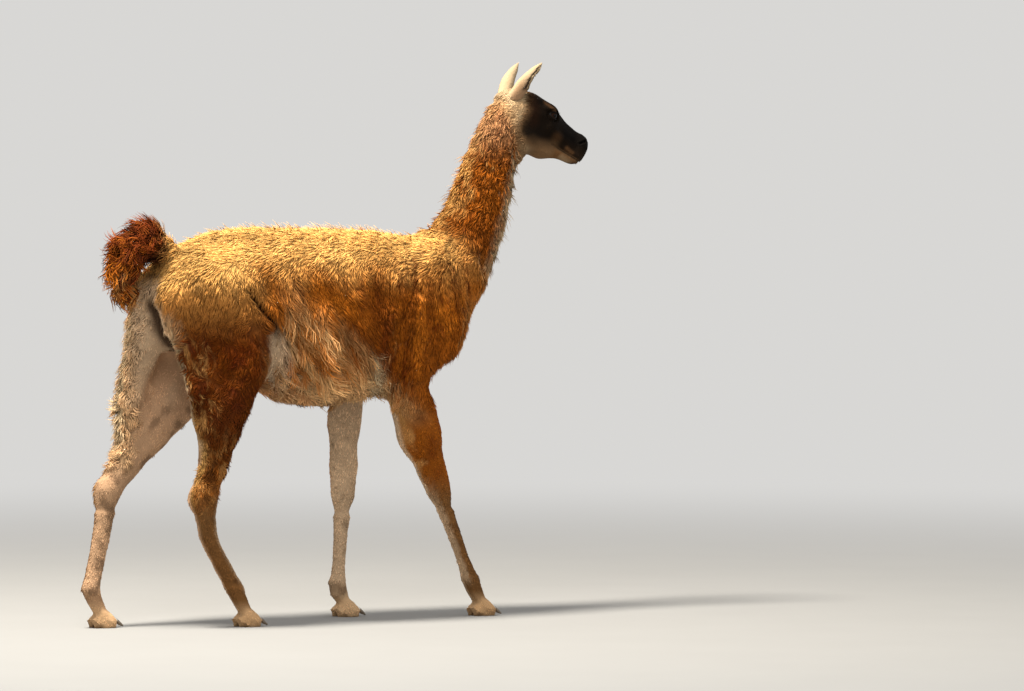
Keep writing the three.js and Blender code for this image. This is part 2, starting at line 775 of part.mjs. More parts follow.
function tailLocks() {
  const locks = [];
  const curve = new THREE.CatmullRomCurve3(tailKnots.map(([p]) => p), false, "centripetal");
  const rings = 5;
  for (let i = 0; i < rings; i++) {
    const u = 0.02 + (0.84 * i) / (rings - 1);
    const origin = curve.getPointAt(u);
    const ahead = curve.getTangentAt(u);
    const across = new THREE.Vector3(0, 1, 0).addScaledVector(ahead, -ahead.y).normalize();
    const up = new THREE.Vector3().crossVectors(ahead, across);
    const radius = tailKnots[Math.round(u * (tailKnots.length - 1))][1] * size;
    const around = i === rings - 1 ? 3 : 4;
    for (let j = 0; j < around; j++) {
      const turn = (2 * Math.PI * (j + (i % 2) / 2)) / around;
      const out = across.clone().multiplyScalar(Math.cos(turn)).addScaledVector(up, Math.sin(turn));
      const side = new THREE.Vector3().crossVectors(ahead, out);
      const length = vary(118, 0.1) * size;
      const drop = new THREE.Vector3(0, 0, -1);
      const rootedAt = origin.clone().addScaledVector(out, radius * tailCoreShare * 0.6);
      const rise = radius * (1 - tailCoreShare * 0.6);
      const places = [0, 0.34, 0.68, 1].map((t) =>
        rootedAt
          .clone()
          .addScaledVector(ahead, length * t * 0.86)
          .addScaledVector(out, rise * (1 - (1 - t) ** 2) * (u > 0.7 ? 0.3 : 0.7))
          .addScaledVector(drop, length * 0.16 * t * t),
      );
      const half = (vary(74, 0.1) * size) / 2;
      const sections = [0.8, 1, 0.62].map((w, k) => [
        places[k].clone().addScaledVector(out, half * 0.34),
        places[k].clone().addScaledVector(side, half * w).addScaledVector(out, -half * 0.2),
        places[k].clone().addScaledVector(side, -half * w).addScaledVector(out, -half * 0.2),
      ]);
      const start = rootedAt.clone().addScaledVector(ahead, -4 * size);
      locks.push(closedMesh(sections, start, places[3]));
    }
  }
  return locks;
}

function makeTail(torso) {
  const slim = tailKnots.map(([place, radius]) => [place, radius * tailCoreShare]);
  const axis = tailKnots.map(([place]) => place.clone());
  const core = wrap(chain(slim, 1, 12), axis, { sides: 9, rings: 10, caps: 1, reach: 90 });
  return wasm.Manifold.union([core, ...tailLocks()]).subtract(torso);
}

const eyeCentre = (side) => onHead(eyePlace.forward, eyePlace.height, side * eyePlace.sideways);

function sphere(centre, radius, segments = 12, rows = 7) {
  const geometry = new THREE.SphereGeometry(radius * size, segments, rows);
  return solidOf(geometry.translate(centre.x, centre.y, centre.z));
}

// Turns a shape's own axes to the head's: x forward, y to its left, z up
function headTurned(geometry, place, { roll = 0, yaw = 0, pitch = 0 } = {}) {
  const turn = new THREE.Matrix4().makeRotationFromEuler(new THREE.Euler(roll, pitch, yaw, "ZYX"));
  const forward = onHead(1, 0).sub(poll).normalize();
  const up = onHead(0, 1).sub(poll).normalize();
  const left = new THREE.Vector3().crossVectors(up, forward);
  const basis = new THREE.Matrix4().makeBasis(forward, left, up).multiply(turn);
  basis.setPosition(place);
  return geometry.clone().applyMatrix4(basis);
}

// The almond between the lids, as a prism that points out from the eye
function lidOpening(side) {
  const width = 15.5 * size;
  const rise = 10.5 * size;
  const almond = new THREE.Shape();
  almond.moveTo(-width, 0);
  almond.quadraticCurveTo(-width * 0.15, rise * 1.8, width, -rise * 0.25);
  almond.quadraticCurveTo(width * 0.1, -rise * 1.5, -width, 0);
  const prism = new THREE.ExtrudeGeometry(almond, { depth: 40 * size, bevelEnabled: false, curveSegments: 7 });
  prism.rotateX(Math.PI / 2).scale(1, -1, 1);
  const turned = side > 0 ? prism : prism.clone().scale(1, -1, 1);
  return solidOf(headTurned(turned, eyeCentre(side), { yaw: side * -0.3 }));
}

// A narrow groove with a wedge section along places on the skin; `inward` points into the head
function groove(places, inward, upward, width, depth) {
  const rings = places.map((p, i) => {
    const share = Math.min(1, 0.35 + Math.min(i, places.length - 1 - i) * 0.4);
    return [
      p.clone().addScaledVector(inward[i], -5 * size).addScaledVector(upward[i], width * share * size),
      p.clone().addScaledVector(inward[i], depth * share * size),
      p.clone().addScaledVector(inward[i], -5 * size).addScaledVector(upward[i], -width * share * size),
    ];
  });
  const middle = (ring) => ring.reduce((sum, q) => sum.add(q), new THREE.Vector3()).divideScalar(3);
  return closedMesh(rings, middle(rings[0]), middle(rings[rings.length - 1]));
}

function mouthLine() {
  const origin = onHead(222, 7);
  const forward = onHead(1, -0.2).sub(poll).normalize();
  const up = onHead(0.2, 1).sub(poll).normalize();
  const left = new THREE.Vector3().crossVectors(up, forward);
  const turns = Array.from({ length: 13 }, (_, i) => THREE.MathUtils.degToRad(-112 + (224 * i) / 12));
  const ways = turns.map((turn) =>
    forward.clone().multiplyScalar(Math.cos(turn)).addScaledVector(left, Math.sin(turn)),
  );
  const places = ways.map((way) => rayToSkin(headField, origin, way, 90 * size));
  return groove(places, ways.map((way) => way.clone().negate()), ways.map(() => up), 1.5, 6.5);
}

function lipCleft() {
  const origin = onHead(226, 16);
  const left = new THREE.Vector3().crossVectors(onHead(0, 1).sub(poll), onHead(1, 0).sub(poll)).normalize();
  const ways = [-10, 4, 18, 32].map((turn) => {
    const t = THREE.MathUtils.degToRad(turn);
    return onHead(Math.cos(t), Math.sin(t)).sub(poll).normalize();
  });
  const places = ways.map((way) => rayToSkin(headField, origin, way, 90 * size));
  return groove(places, ways.map((way) => way.clone().negate()), ways.map(() => left), 1.4, 3);
}

function nostril(side) {
  const origin = onHead(236, 26, side * 4);
  const way = onHead(0.86, 0.42, side * 0.62).sub(poll).normalize();
  const place = rayToSkin(headField, origin, way, 60 * size);
  const slit = new THREE.SphereGeometry(1, 10, 7).scale(9.5 * size, 3.2 * size, 5.5 * size);
  return solidOf(headTurned(slit, place, { yaw: side * 0.75, pitch: 0.55, roll: side * 0.5 }));
}

function makeHead(field, isSpace = false) {
  const axis = [onHead(-4, 30), onHead(60, 30), onHead(140, 24), onHead(235, 14)];
  const shape = { sides: 24, rings: 25, caps: 4, reach: 200 };
  const skull = inRegion(wrap(endedField(field, [headBase]), axis, shape), [headBase]);
  if (isSpace) return skull;
  const lids = [-1, 1].map((side) => sphere(eyeCentre(side), eyeRadius + 3.4, 16, 10));
  const openings = [-1, 1].flatMap((side) => [
    sphere(eyeCentre(side), eyeRadius + seamGap),
    lidOpening(side),
    nostril(side),
  ]);
  const cuts = wasm.Manifold.union([...openings, mouthLine(), lipCleft()]);
  return wasm.Manifold.union([skull, ...lids]).subtract(cuts);
}

// An ear stands on the crown, leans forward and outward, and is cupped towards the front
function makeEar(side, head) {
  const base = onHead(-18, 71, side * 33);
  const lean = at(70, side * 36, 97);
  const place = (t, bow) => base.clone().addScaledVector(lean, t).add(at(-bow, side * bow * 0.6, 0));
  const knots = [
    [place(-0.1, 0), 17],
    [place(0.1, 2), 21],
    [place(0.34, 6), 22],
    [place(0.62, 7), 18.5],
    [place(0.86, 3), 11],
    [place(1.03, 0), 3.5],
  ];
  const shell = wrap(chain(knots, 0.82, 8), knots.map(([p]) => p), { sides: 10, rings: 8, caps: 1, reach: 60 });
  const opening = at(14, side * 8, -4);
  const hollow = [
    [place(0.26, 5).add(opening), 9],
    [place(0.4, 7).add(opening), 14],
    [place(0.62, 7).add(opening), 13.5],
    [place(0.85, 3).add(opening.clone().multiplyScalar(0.66)), 7],
    [place(1, 0).add(opening.clone().multiplyScalar(0.4)), 2],
  ];
  const cup = wrap(chain(hollow, 0.62, 8), hollow.map(([p]) => p), { sides: 8, rings: 5, caps: 1, reach: 60 });
  return shell.subtract(cup).subtract(head);
}

function makeUpperHind(s) {
  const planes = hindRegion(s);
  const below = [[s.hindCannon.clone().lerp(s.hock, 0.55), new THREE.Vector3(0, 0, 1)]];
  const cuts = [...planes, ...below];
  const [low, high] = [at(-700, Math.min(0, s.side * 260), 240), at(-100, Math.max(0, s.side * 260), 960)];
  const core = net(endedField(coreField, cuts, 40), low, high, 36);
  const axis = [s.stifle.clone().lerp(s.hamstring, 0.35).setZ(800 * size), s.thighFoot, s.shank, s.shankLow];
  const locks = locksRound(axis, 3, 2, {
    to: 0.5,
    arc: s.side > 0 ? [-115, 35] : [295, 145],
    lie: () => new THREE.Vector3(-0.3, 0, -1),
    keep: (root) => isInside(root, planes, -4),
    shape: (i) => ({ length: vary(130 - 10 * i, 0.1), width: vary(78 - 8 * i, 0.1), wave: 0.2, lift: 3 }),
  });
  return inRegion(wasm.Manifold.union([core, ...locks]), cuts);
}

function makeLowerLeg(top, knots, fetlock) {
  const planes = [
    [top, new THREE.Vector3(0, 0, -1)],
    [fetlock.clone().add(at(0, 0, 26)), new THREE.Vector3(0, 0, 1)],
  ];
  const axis = [top.clone().add(at(0, 0, 24)), ...knots, fetlock];
  const field = endedField(bodyField, planes, 34);
  return inRegion(wrap(field, axis, { sides: 10, rings: 8, caps: 1, reach: 90 }), planes);
}

function makeUpperFore(s) {
  const planes = foreRegion(s);
  const below = [[s.cannonTop, new THREE.Vector3(0, 0, 1)]];
  const field = endedField(coreField, [...planes, ...below], 30);
  const [low, high] = [at(60, Math.min(0, s.side * 260), 200), at(620, Math.max(0, s.side * 260), 800)];
  return cutNet(field, low, high, 29, [...planes, ...below]);
}

// A foot has two toes on soft pads, each toe ending in a nail
const toeSplay = 20; // half the distance between the toes at their tips
const toeLength = 84; // heel to the front of the pad
const padHeight = 15;

function toePlaces(fetlock, side) {
  const pastern = pasternEnd(fetlock);
  const heel = pastern.clone().add(at(-22, side * 12, 0)).setZ(padHeight * size);
  const tip = heel.clone().add(at(toeLength - 38, side * (toeSplay - 12), 1));
  const knuckle = pastern.clone().add(at(6, side * 11, -4));
  return { heel, tip, knuckle };
}

function makeFoot(fetlock, shape = (field) => field) {
  const top = [fetlock.clone().add(at(0, 0, 26)), new THREE.Vector3(0, 0, -1)];
  const floor = [at(0, 0, -seamGap / 2), new THREE.Vector3(0, 0, 1), 0];
  const pastern = pasternEnd(fetlock);
  const stemAxis = [fetlock.clone().add(at(0, 0, 44)), fetlock, pastern];
  const stem = wrap(endedField(shape(bodyField), [top], 30), stemAxis, {
    sides: 9,
    rings: 4,
    caps: 1,
    reach: 90,
  });
  const toes = [-1, 1].map((side) => {
    const { heel, tip, knuckle } = toePlaces(fetlock, side);
    const toe = softUnion([rod(knuckle, tip, 19, 18, 0.9), rod(heel, tip, 18, 20, 0.95)], 14);
    const axis = [knuckle.clone().lerp(heel, 0.45), tip];
    return wrap(shape(toe), axis, { sides: 7, rings: 3, caps: 1, reach: 70 });
  });
  return inRegion(wasm.Manifold.union([stem, ...toes]), [top, floor]);
}

function makeNail(fetlock, side) {
  const { tip } = toePlaces(fetlock, side);
  const root = tip.clone().add(at(8, side, 6));
  const end = tip.clone().add(at(38, side * 3, -11));
  const nail = wrap(rod(root, end, 11, 3.5, 0.8), [root, end], { sides: 5, rings: 2, caps: 0, reach: 40 });
  return inRegion(nail, [[at(0, 0, 0), new THREE.Vector3(0, 0, 1)]]);
}

const headSpace = makeHead(grown(bodyField), true);
addNode("torso", makeTorso(), coatColour);
addNode("neck", makeNeck(), coatColour);
addNode("tail", makeTail(torsoCut(torsoBody(grown(bodyField)))), tailColour);
addNode("head", makeHead(bodyField), faceColour);

for (const [name, s] of Object.entries(strides)) {
  addNode(`ear_${name}`, makeEar(s.side, headSpace), paleColour);
  addNode(`eye_${name}`, sphere(eyeCentre(s.side), eyeRadius), eyeColour, 0.1);
  addNode(`hind_thigh_${name}`, makeUpperHind(s), coatColour);
  const hindTop = s.hindCannon.clone().lerp(s.hock, 0.55);
  addNode(`hind_shank_${name}`, makeLowerLeg(hindTop, [s.hindCannon], s.hindFetlock), paleColour);
  addNode(`fore_arm_${name}`, makeUpperFore(s), coatColour);
  addNode(`fore_shank_${name}`, makeLowerLeg(s.cannonTop, [s.cannonLow], s.foreFetlock), paleColour);
  for (const [end, fetlock] of [["hind", s.hindFetlock], ["fore", s.foreFetlock]]) {
    const space = makeFoot(fetlock, grown);
    addNode(`${end}_foot_${name}`, makeFoot(fetlock), paleColour);
    [-1, 1].forEach((side, i) => {
      addNode(`${end}_nail_${name}_${i + 1}`, makeNail(fetlock, side).subtract(space), nailColour, 0.5);
    });
  }
}

// The origin goes on the floor under the middle of the body
const box = new THREE.Box3().setFromObject(guanaco);
const middle = box.getCenter(new THREE.Vector3());
guanaco.position.set(-middle.x, -middle.y, -box.min.z);

export default guanaco;
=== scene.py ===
import json
import math
import bmesh
import bpy
import numpy as np
from mathutils import Matrix, Vector, kdtree

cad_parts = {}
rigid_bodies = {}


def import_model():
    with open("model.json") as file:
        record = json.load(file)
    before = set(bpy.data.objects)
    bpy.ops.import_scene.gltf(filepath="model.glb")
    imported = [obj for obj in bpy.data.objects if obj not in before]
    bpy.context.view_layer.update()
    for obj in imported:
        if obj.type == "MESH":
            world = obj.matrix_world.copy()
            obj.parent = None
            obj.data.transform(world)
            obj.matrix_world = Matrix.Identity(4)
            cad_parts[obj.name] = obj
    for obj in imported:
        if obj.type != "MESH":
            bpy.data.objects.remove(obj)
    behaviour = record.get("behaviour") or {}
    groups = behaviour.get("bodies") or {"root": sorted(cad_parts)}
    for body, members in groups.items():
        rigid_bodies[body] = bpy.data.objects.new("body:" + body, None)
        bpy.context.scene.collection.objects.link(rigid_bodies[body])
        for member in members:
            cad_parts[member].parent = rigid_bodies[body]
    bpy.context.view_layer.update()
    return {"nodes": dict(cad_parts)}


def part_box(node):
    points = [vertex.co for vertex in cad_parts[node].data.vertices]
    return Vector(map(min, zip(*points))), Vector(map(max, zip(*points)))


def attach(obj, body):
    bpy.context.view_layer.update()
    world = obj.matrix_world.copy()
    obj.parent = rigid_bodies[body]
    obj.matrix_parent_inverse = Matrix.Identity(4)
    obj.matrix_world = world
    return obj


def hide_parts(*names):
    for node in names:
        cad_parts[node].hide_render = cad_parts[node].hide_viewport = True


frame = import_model()
nodes = frame["nodes"]
draw = np.random.default_rng(11)
print("frame loaded", len(nodes), "nodes")

# The animal is measured from the point on the floor under its middle, heading along +X, its left along +Y.
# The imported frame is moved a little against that, by what the near eye shows.
animal = {
    "eyeCentre": (0.816, -0.061, 1.443),
    "poll": (0.7, 0.0, 1.42),
    "headTurn": -8.0,
    "headPitch": -22.0,
}
low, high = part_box("eye_right")
shift = np.array((low + high) / 2) - np.array(animal["eyeCentre"])

fleshNodes = [n for n in nodes if not n.startswith(("ear_", "eye_")) and "nail" not in n]
sides = {"right": -1, "left": 1}


def deselect():
    for o in bpy.context.view_layer.objects:
        o.select_set(False)


def makeActive(obj):
    deselect()
    obj.select_set(True)
    bpy.context.view_layer.objects.active = obj


def copyOfNode(name):  # a node's own mesh is left alone, so its copy is merged
    obj = nodes[name].copy()
    obj.data = nodes[name].data.copy()
    obj.parent = None
    for key in list(obj.keys()):
        del obj[key]
    bpy.context.scene.collection.objects.link(obj)
    obj.hide_render = False
    obj.hide_viewport = False
    bm = bmesh.new()
    bm.from_mesh(obj.data)
    bmesh.ops.remove_doubles(bm, verts=bm.verts, dist=2e-5)
    bm.to_mesh(obj.data)
    bm.free()
    return obj


def linked(name, data):
    obj = bpy.data.objects.new(name, data)
    bpy.context.scene.collection.objects.link(obj)
    return obj


def useModifier(obj, kind, **settings):
    makeActive(obj)
    modifier = obj.modifiers.new(kind.lower(), kind)
    for key, value in settings.items():
        setattr(modifier, key, value)
    bpy.ops.object.modifier_apply(modifier=modifier.name)


def places(mesh):
    co = np.empty(len(mesh.vertices) * 3, np.float32)
    mesh.vertices.foreach_get("co", co)
    return co.reshape(-1, 3).astype(float)


def normals(mesh):
    n = np.empty(len(mesh.vertices) * 3, np.float32)
    mesh.vertex_normals.foreach_get("vector", n)
    return n.reshape(-1, 3).astype(float)


def setPlaces(mesh, co):
    mesh.vertices.foreach_set("co", co.astype(np.float32).ravel())
    mesh.update()


def swell(mesh, distance):
    setPlaces(mesh, places(mesh) + unit(normals(mesh)) * distance)


def ramp(value, start, end):  # 0 before start, 1 after end, smooth between
    t = np.clip((value - start) / (end - start), 0, 1)
    return t * t * (3 - 2 * t)


def fade(value, start, end):  # 1 before start, 0 after end
    return 1 - ramp(value, start, end)


def unit(v):
    return v / np.maximum(np.linalg.norm(v, axis=1, keepdims=True), 1e-9)


def ripple(p, scale, seed, waves=7):  # soft noise from -1 to 1, from waves in many directions
    rng = np.random.default_rng(seed)
    total = np.zeros(len(p))
    for _ in range(waves):
        way = rng.normal(size=3)
        way = way / np.linalg.norm(way) * (2 * math.pi / scale) * rng.uniform(0.6, 1.5)
        total += np.sin(p @ way + rng.uniform(0, 2 * math.pi) + 1.3 * np.sin(p[:, ::-1] @ way * 0.6))
    return total / math.sqrt(waves) * 0.9


# The head's own axes, for what is placed on it
turn, pitch = math.radians(animal["headTurn"]), math.radians(animal["headPitch"])
headForward = np.array((math.cos(pitch) * math.cos(turn), math.cos(pitch) * math.sin(turn), math.sin(pitch)))
headLeft = np.array((-math.sin(turn), math.cos(turn), 0))
headUp = np.cross(headForward, headLeft)


def headPlaces(body):  # forward, height and sideways of places that are in the animal's own measure
    d = body - animal["poll"]
    return d @ headForward, d @ headUp, d @ headLeft


# Where things are on the body, each as a share from 0 to 1
def regions(co, n):
    p = co - shift
    x, y, z = p.T
    forward, height, sideways = headPlaces(p)
    up = 0.68 * (x - 0.542) + 0.73 * (z - 1.04)
    r = {}
    r["head"] = ramp(0.93 * (x - 0.702) + 0.36 * (z - 1.425), -0.02, 0.015) * ramp(z, 1.1, 1.2)
    r["face"] = r["head"] * ramp(forward, 0.03, 0.07)
    r["neck"] = ramp(up, -0.05, 0.06) * (1 - r["head"])
    r["tail"] = ramp(-x, 0.435, 0.47) * ramp(z, 0.86, 0.9) * fade(np.abs(y - 0.008), 0.066, 0.085)
    r["tail"] *= ramp(-x + 0.9 * (z - 1.05), 0.42, 0.46)
    legTop = np.where(x < 0, 0.66, 0.65)
    r["leg"] = fade(z, legTop - 0.06, legTop + 0.02)
    r["shank"] = fade(z, 0.28, 0.42)
    r["foot"] = fade(z, 0.075, 0.12)
    r["thigh"] = fade(x, -0.2, -0.13) * fade(z, 0.8, 0.98) * ramp(z, 0.3, 0.45)
    r["lower"] = r["leg"] * (1 - r["thigh"])  # the leg without the thigh's fleece
    side = np.where(y < 0, -1, 1)
    innerTop = np.where(x < -0.1, 0.95, 0.7)
    start = np.where(z < 0.6, -0.45, -0.1)
    r["inner"] = ramp(-n[:, 1] * side, start, start + 0.45) * fade(z, innerTop - 0.08, innerTop)
    edge = np.where(y > 0, -0.475 - 0.08 * (0.86 - z), -0.464)  # cream wool lies behind this line
    r["wool"] = ramp(edge - x + 0.012 * ripple(p, 0.045, 4), -0.015, 0.035) * ramp(z, 0.42, 0.5)
    r["wool"] *= fade(z, 0.86, 0.92)
    below = 0.95 - 0.79 * (x + 0.12) - z  # under the line from the hip's fold to the elbow
    r["flank"] = ramp(x, -0.19, -0.12) * fade(x, 0.24, 0.38) * ramp(below, -0.07, 0.08)
    r["flank"] *= ramp(z, 0.54, 0.6) * (1 - r["neck"])
    r["belly"] = ramp(x, -0.2, -0.12) * fade(x, 0.3, 0.42) * ramp(-n[:, 2], 0.2, 0.7)
    r["belly"] *= ramp(z, 0.53, 0.58)
    r["top"] = ramp(n[:, 2], 0.3, 0.9) * ramp(z, 0.9, 1.05) * (1 - r["neck"]) * (1 - r["head"])
    r["front"] = ramp(n[:, 0] - 0.3 * n[:, 2], 0.35, 0.8) * ramp(z, 0.68, 0.8)
    r["shoulder"] = ramp(x, 0.16, 0.28) * (1 - r["neck"]) * ramp(z, 0.56, 0.66)
    return p, r, (forward, height, sideways)


def strip(x, z, start, end, width):  # a soft line seen from the side, 1 on it and 0 a width away
    start, end = np.array(start), np.array(end)
    d = np.stack((x, z), axis=1) - start
    t = np.clip(d @ (end - start) / ((end - start) @ (end - start)), 0, 1)
    return fade(np.linalg.norm(d - t[:, None] * (end - start), axis=1), 0.0, width)


def folds(p, n, r):  # the fold before the thigh, and the wool's creases, as shares
    x, y, z = p.T
    outer = ramp(np.abs(n[:, 1]), 0.3, 0.6)
    hip = np.maximum(strip(x, z, (-0.262, 0.96), (-0.165, 0.85), 0.016),
                     strip(x, z, (-0.165, 0.85), (-0.14, 0.69), 0.022)) * outer
    ridged = 1 - np.abs(ripple(p * (1, 1, 2.4), 0.07, 21))
    neck = ramp(ridged, 0.82, 1.0) * r["neck"] * ramp(z, 1.15, 1.3) * fade(z, 1.39, 1.44)
    slanted = np.stack((x - 0.7 * z, y, 0.5 * z), axis=1)
    chest = ramp(1 - np.abs(ripple(slanted, 0.1, 22)), 0.84, 1.0)
    chest = chest * ramp(x, 0.12, 0.25) * (1 - r["leg"]) * (1 - r["head"])
    chest = chest * fade(z, 1.2, 1.3) * (1 - r["top"])
    return hip, neck, chest


def bareFlank(p, n):  # the thinly haired patch between thigh and flank
    patch = strip(p[:, 0], p[:, 2], (-0.16, 0.815), (-0.146, 0.68), 0.05)
    return patch * ramp(np.abs(n[:, 1]), 0.3, 0.6)


def blended(r, table):  # the first row's value everywhere, and over it each further row's in its own region
    rows = iter(table.items())
    value = np.full(len(r["head"]), next(rows)[1])
    for name, target in rows:
        value = value + (target - value) * r[name]
    return value


# Skin: the nodes of flesh become one skin, smooth and without a seam, that lies under the coat
skin = {
    "weld": 0.0015,  # how far a node swells to meet the next
    "swell": 0.007,  # the same for the trunk, where the seams are deep
    "coarse": 0.0095, "voxel": 0.0028,
    "smoothing": 55,
    "faces": 190000,
    "hipFold": 0.016, "neckCrease": 0.007, "chestCrease": 0.005,
}
coatDepth = {  # how far the skin lies inside the solids
    "back": 0.012, "thigh": 0.01, "flank": 0.016, "neck": 0.011,
    "lower": 0.0049, "shank": 0.0035, "tail": 0.0, "head": 0.002,
}


# The neck and tail carry locks in the solids, so their flesh is a row of balls along their own line
neckLine = ((0.438, 0, 0.928, 0.15), (0.52, 0, 1.016, 0.126), (0.586, 0, 1.13, 0.107),
            (0.634, 0, 1.262, 0.093), (0.668, 0, 1.362, 0.082), (0.7, 0, 1.432, 0.071))
throat = ((0.696, 0, 1.35, 0.054), (0.712, 0, 1.326, 0.047))
tailFlesh = ((-0.39, 0.0, 1.02, 0.04), (-0.444, 0.001, 1.074, 0.04), (-0.496, 0.004, 1.092, 0.04),
             (-0.546, 0.008, 1.062, 0.036), (-0.57, 0.012, 1.008, 0.028), (-0.564, 0.014, 0.962, 0.017))


def ballsAlong(line, narrowing, step):
    balls = []
    line = np.array(line, float)
    for start, end in zip(line[:-1], line[1:]):
        count = max(2, int(np.linalg.norm(end[:3] - start[:3]) / step))
        for i in range(count + 1):
            x, y, z, radius = start + (end - start) * i / count
            deselect()
            bpy.ops.mesh.primitive_uv_sphere_add(segments=28, ring_count=16, radius=radius,
                                                 location=Vector((x, y, z)) + Vector(shift))
            ball = bpy.context.active_object
            ball.scale = (1, narrowing, 1)
            bpy.ops.object.transform_apply()
            balls.append(ball)
    return balls


# The face's own forms: lids round the eyes, nostrils, the mouth and its split upper lip
face = {  # a line is a start and an end, forward and height, and then its width
    "eyeRadius": 0.018, "opening": (0.0165, 0.0105), "lid": 0.0016,
    "mouth": ((0.15, -0.006), (0.186, -0.009), (0.222, -0.013), (0.262, -0.021)),
    "mouthDepth": 0.0042, "mouthWidth": 0.0042,
    "lipAbove": ((0.18, 0.000), (0.25, -0.009), 0.01),
    "lipBelow": ((0.18, -0.02), (0.236, -0.027), 0.01),
    "nostril": ((0.232, 0.03), (0.247, 0.043)),
    "nostrilDepth": 0.006, "nostrilWidth": 0.0048, "rimWidth": 0.012,
    "brow": ((0.08, 0.083), (0.122, 0.074), 0.016),
    "cheekBone": ((0.115, 0.036), (0.165, 0.018), 0.018),
    "hollow": ((0.15, 0.04), (0.205, 0.026), 0.016),
    "jaw": ((0.055, -0.02), (0.09, -0.034), 0.03),
}


def eyeAxes(side):
    out = unit((headLeft * side * 0.86 + headForward * 0.48 + headUp * 0.06)[None])[0]
    level = unit(np.cross(headUp, out)[None])[0]
    return out, level, np.cross(out, level)


def eyeCentre(name):
    low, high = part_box("eye_" + name)
    return np.array((low + high) / 2)


def overEye(name, side, a, b, proud):  # places a across and b up from the eye's middle, proud of its ball
    out, level, rise = eyeAxes(side)
    c = np.sqrt(np.maximum(face["eyeRadius"] ** 2 - a * a - b * b, 1e-8)) + proud
    return eyeCentre(name) + a[:, None] * level + b[:, None] * rise + c[:, None] * out


def carveHead(co, n):
    co = co.copy()
    forward, height, sideways = headPlaces(co - shift)
    onFace = (forward > 0.02) & (height > -0.12) & (np.abs(sideways) < 0.12) & (co[:, 2] > 1.2)

    def along(name, *width):
        return strip(forward, height, *face[name], *width)

    def offMiddle(start, end):
        return ramp(np.abs(sideways), start, end)

    line = face["mouth"]
    groove = np.zeros(len(co))
    for start, end in zip(line[:-1], line[1:]):
        groove = np.maximum(groove, strip(forward, height, start, end, face["mouthWidth"]))
    inward = face["mouthDepth"] * groove
    inward -= 0.0018 * (along("lipAbove") + along("lipBelow")) * (1 - groove)
    nostril = along("nostril", face["nostrilWidth"]) * offMiddle(0.006, 0.012)
    rim = along("nostril", face["rimWidth"]) * offMiddle(0.006, 0.012)
    inward += face["nostrilDepth"] * nostril - 0.0016 * rim * (1 - nostril)
    cleft = (1 - offMiddle(0.0, 0.004)) * ramp(forward, 0.235, 0.25) * ramp(height, -0.02, -0.012)
    inward += 0.004 * cleft * fade(height, 0.028, 0.038)
    brow = along("brow") * offMiddle(0.03, 0.045)
    hollow = along("hollow") * offMiddle(0.012, 0.02)
    inward += 0.003 * hollow - 0.004 * brow - 0.0018 * along("cheekBone") - 0.003 * along("jaw")
    co[onFace] -= (n * inward[:, None])[onFace]
    for name, side in sides.items():
        centre, (out, level, rise) = eyeCentre(name), eyeAxes(side)
        d = co - centre
        a, b, c = d @ level, d @ rise, d @ out
        near = (np.linalg.norm(d, axis=1) < 0.036) & (c > -0.004)
        m = np.sqrt((a / face["opening"][0]) ** 2 + (b / face["opening"][1]) ** 2)
        ball = np.sqrt(np.maximum(face["eyeRadius"] ** 2 - a * a - b * b, 0.0))
        target = np.where(m < 0.92, np.minimum(c, ball - 0.004), ball + face["lid"])
        share = np.where(m < 0.92, 1.0, fade(m, 1.15, 2.0))
        moved = co + out * ((target - c) * share)[:, None]
        co[near] = moved[near]
    return co


def joined(parts):
    deselect()
    for obj in parts:
        obj.select_set(True)
    bpy.context.view_layer.objects.active = parts[0]
    bpy.ops.object.join()
    return bpy.context.view_layer.objects.active


def weigh(obj, name, share, steps):  # a vertex group whose weights are rounded to so many steps
    group = obj.vertex_groups.new(name=name)
    for step in range(1, steps + 1):
        chosen = np.nonzero(np.round(share * steps) == step)[0]
        if len(chosen):
            group.add([int(i) for i in chosen], step / steps, "REPLACE")


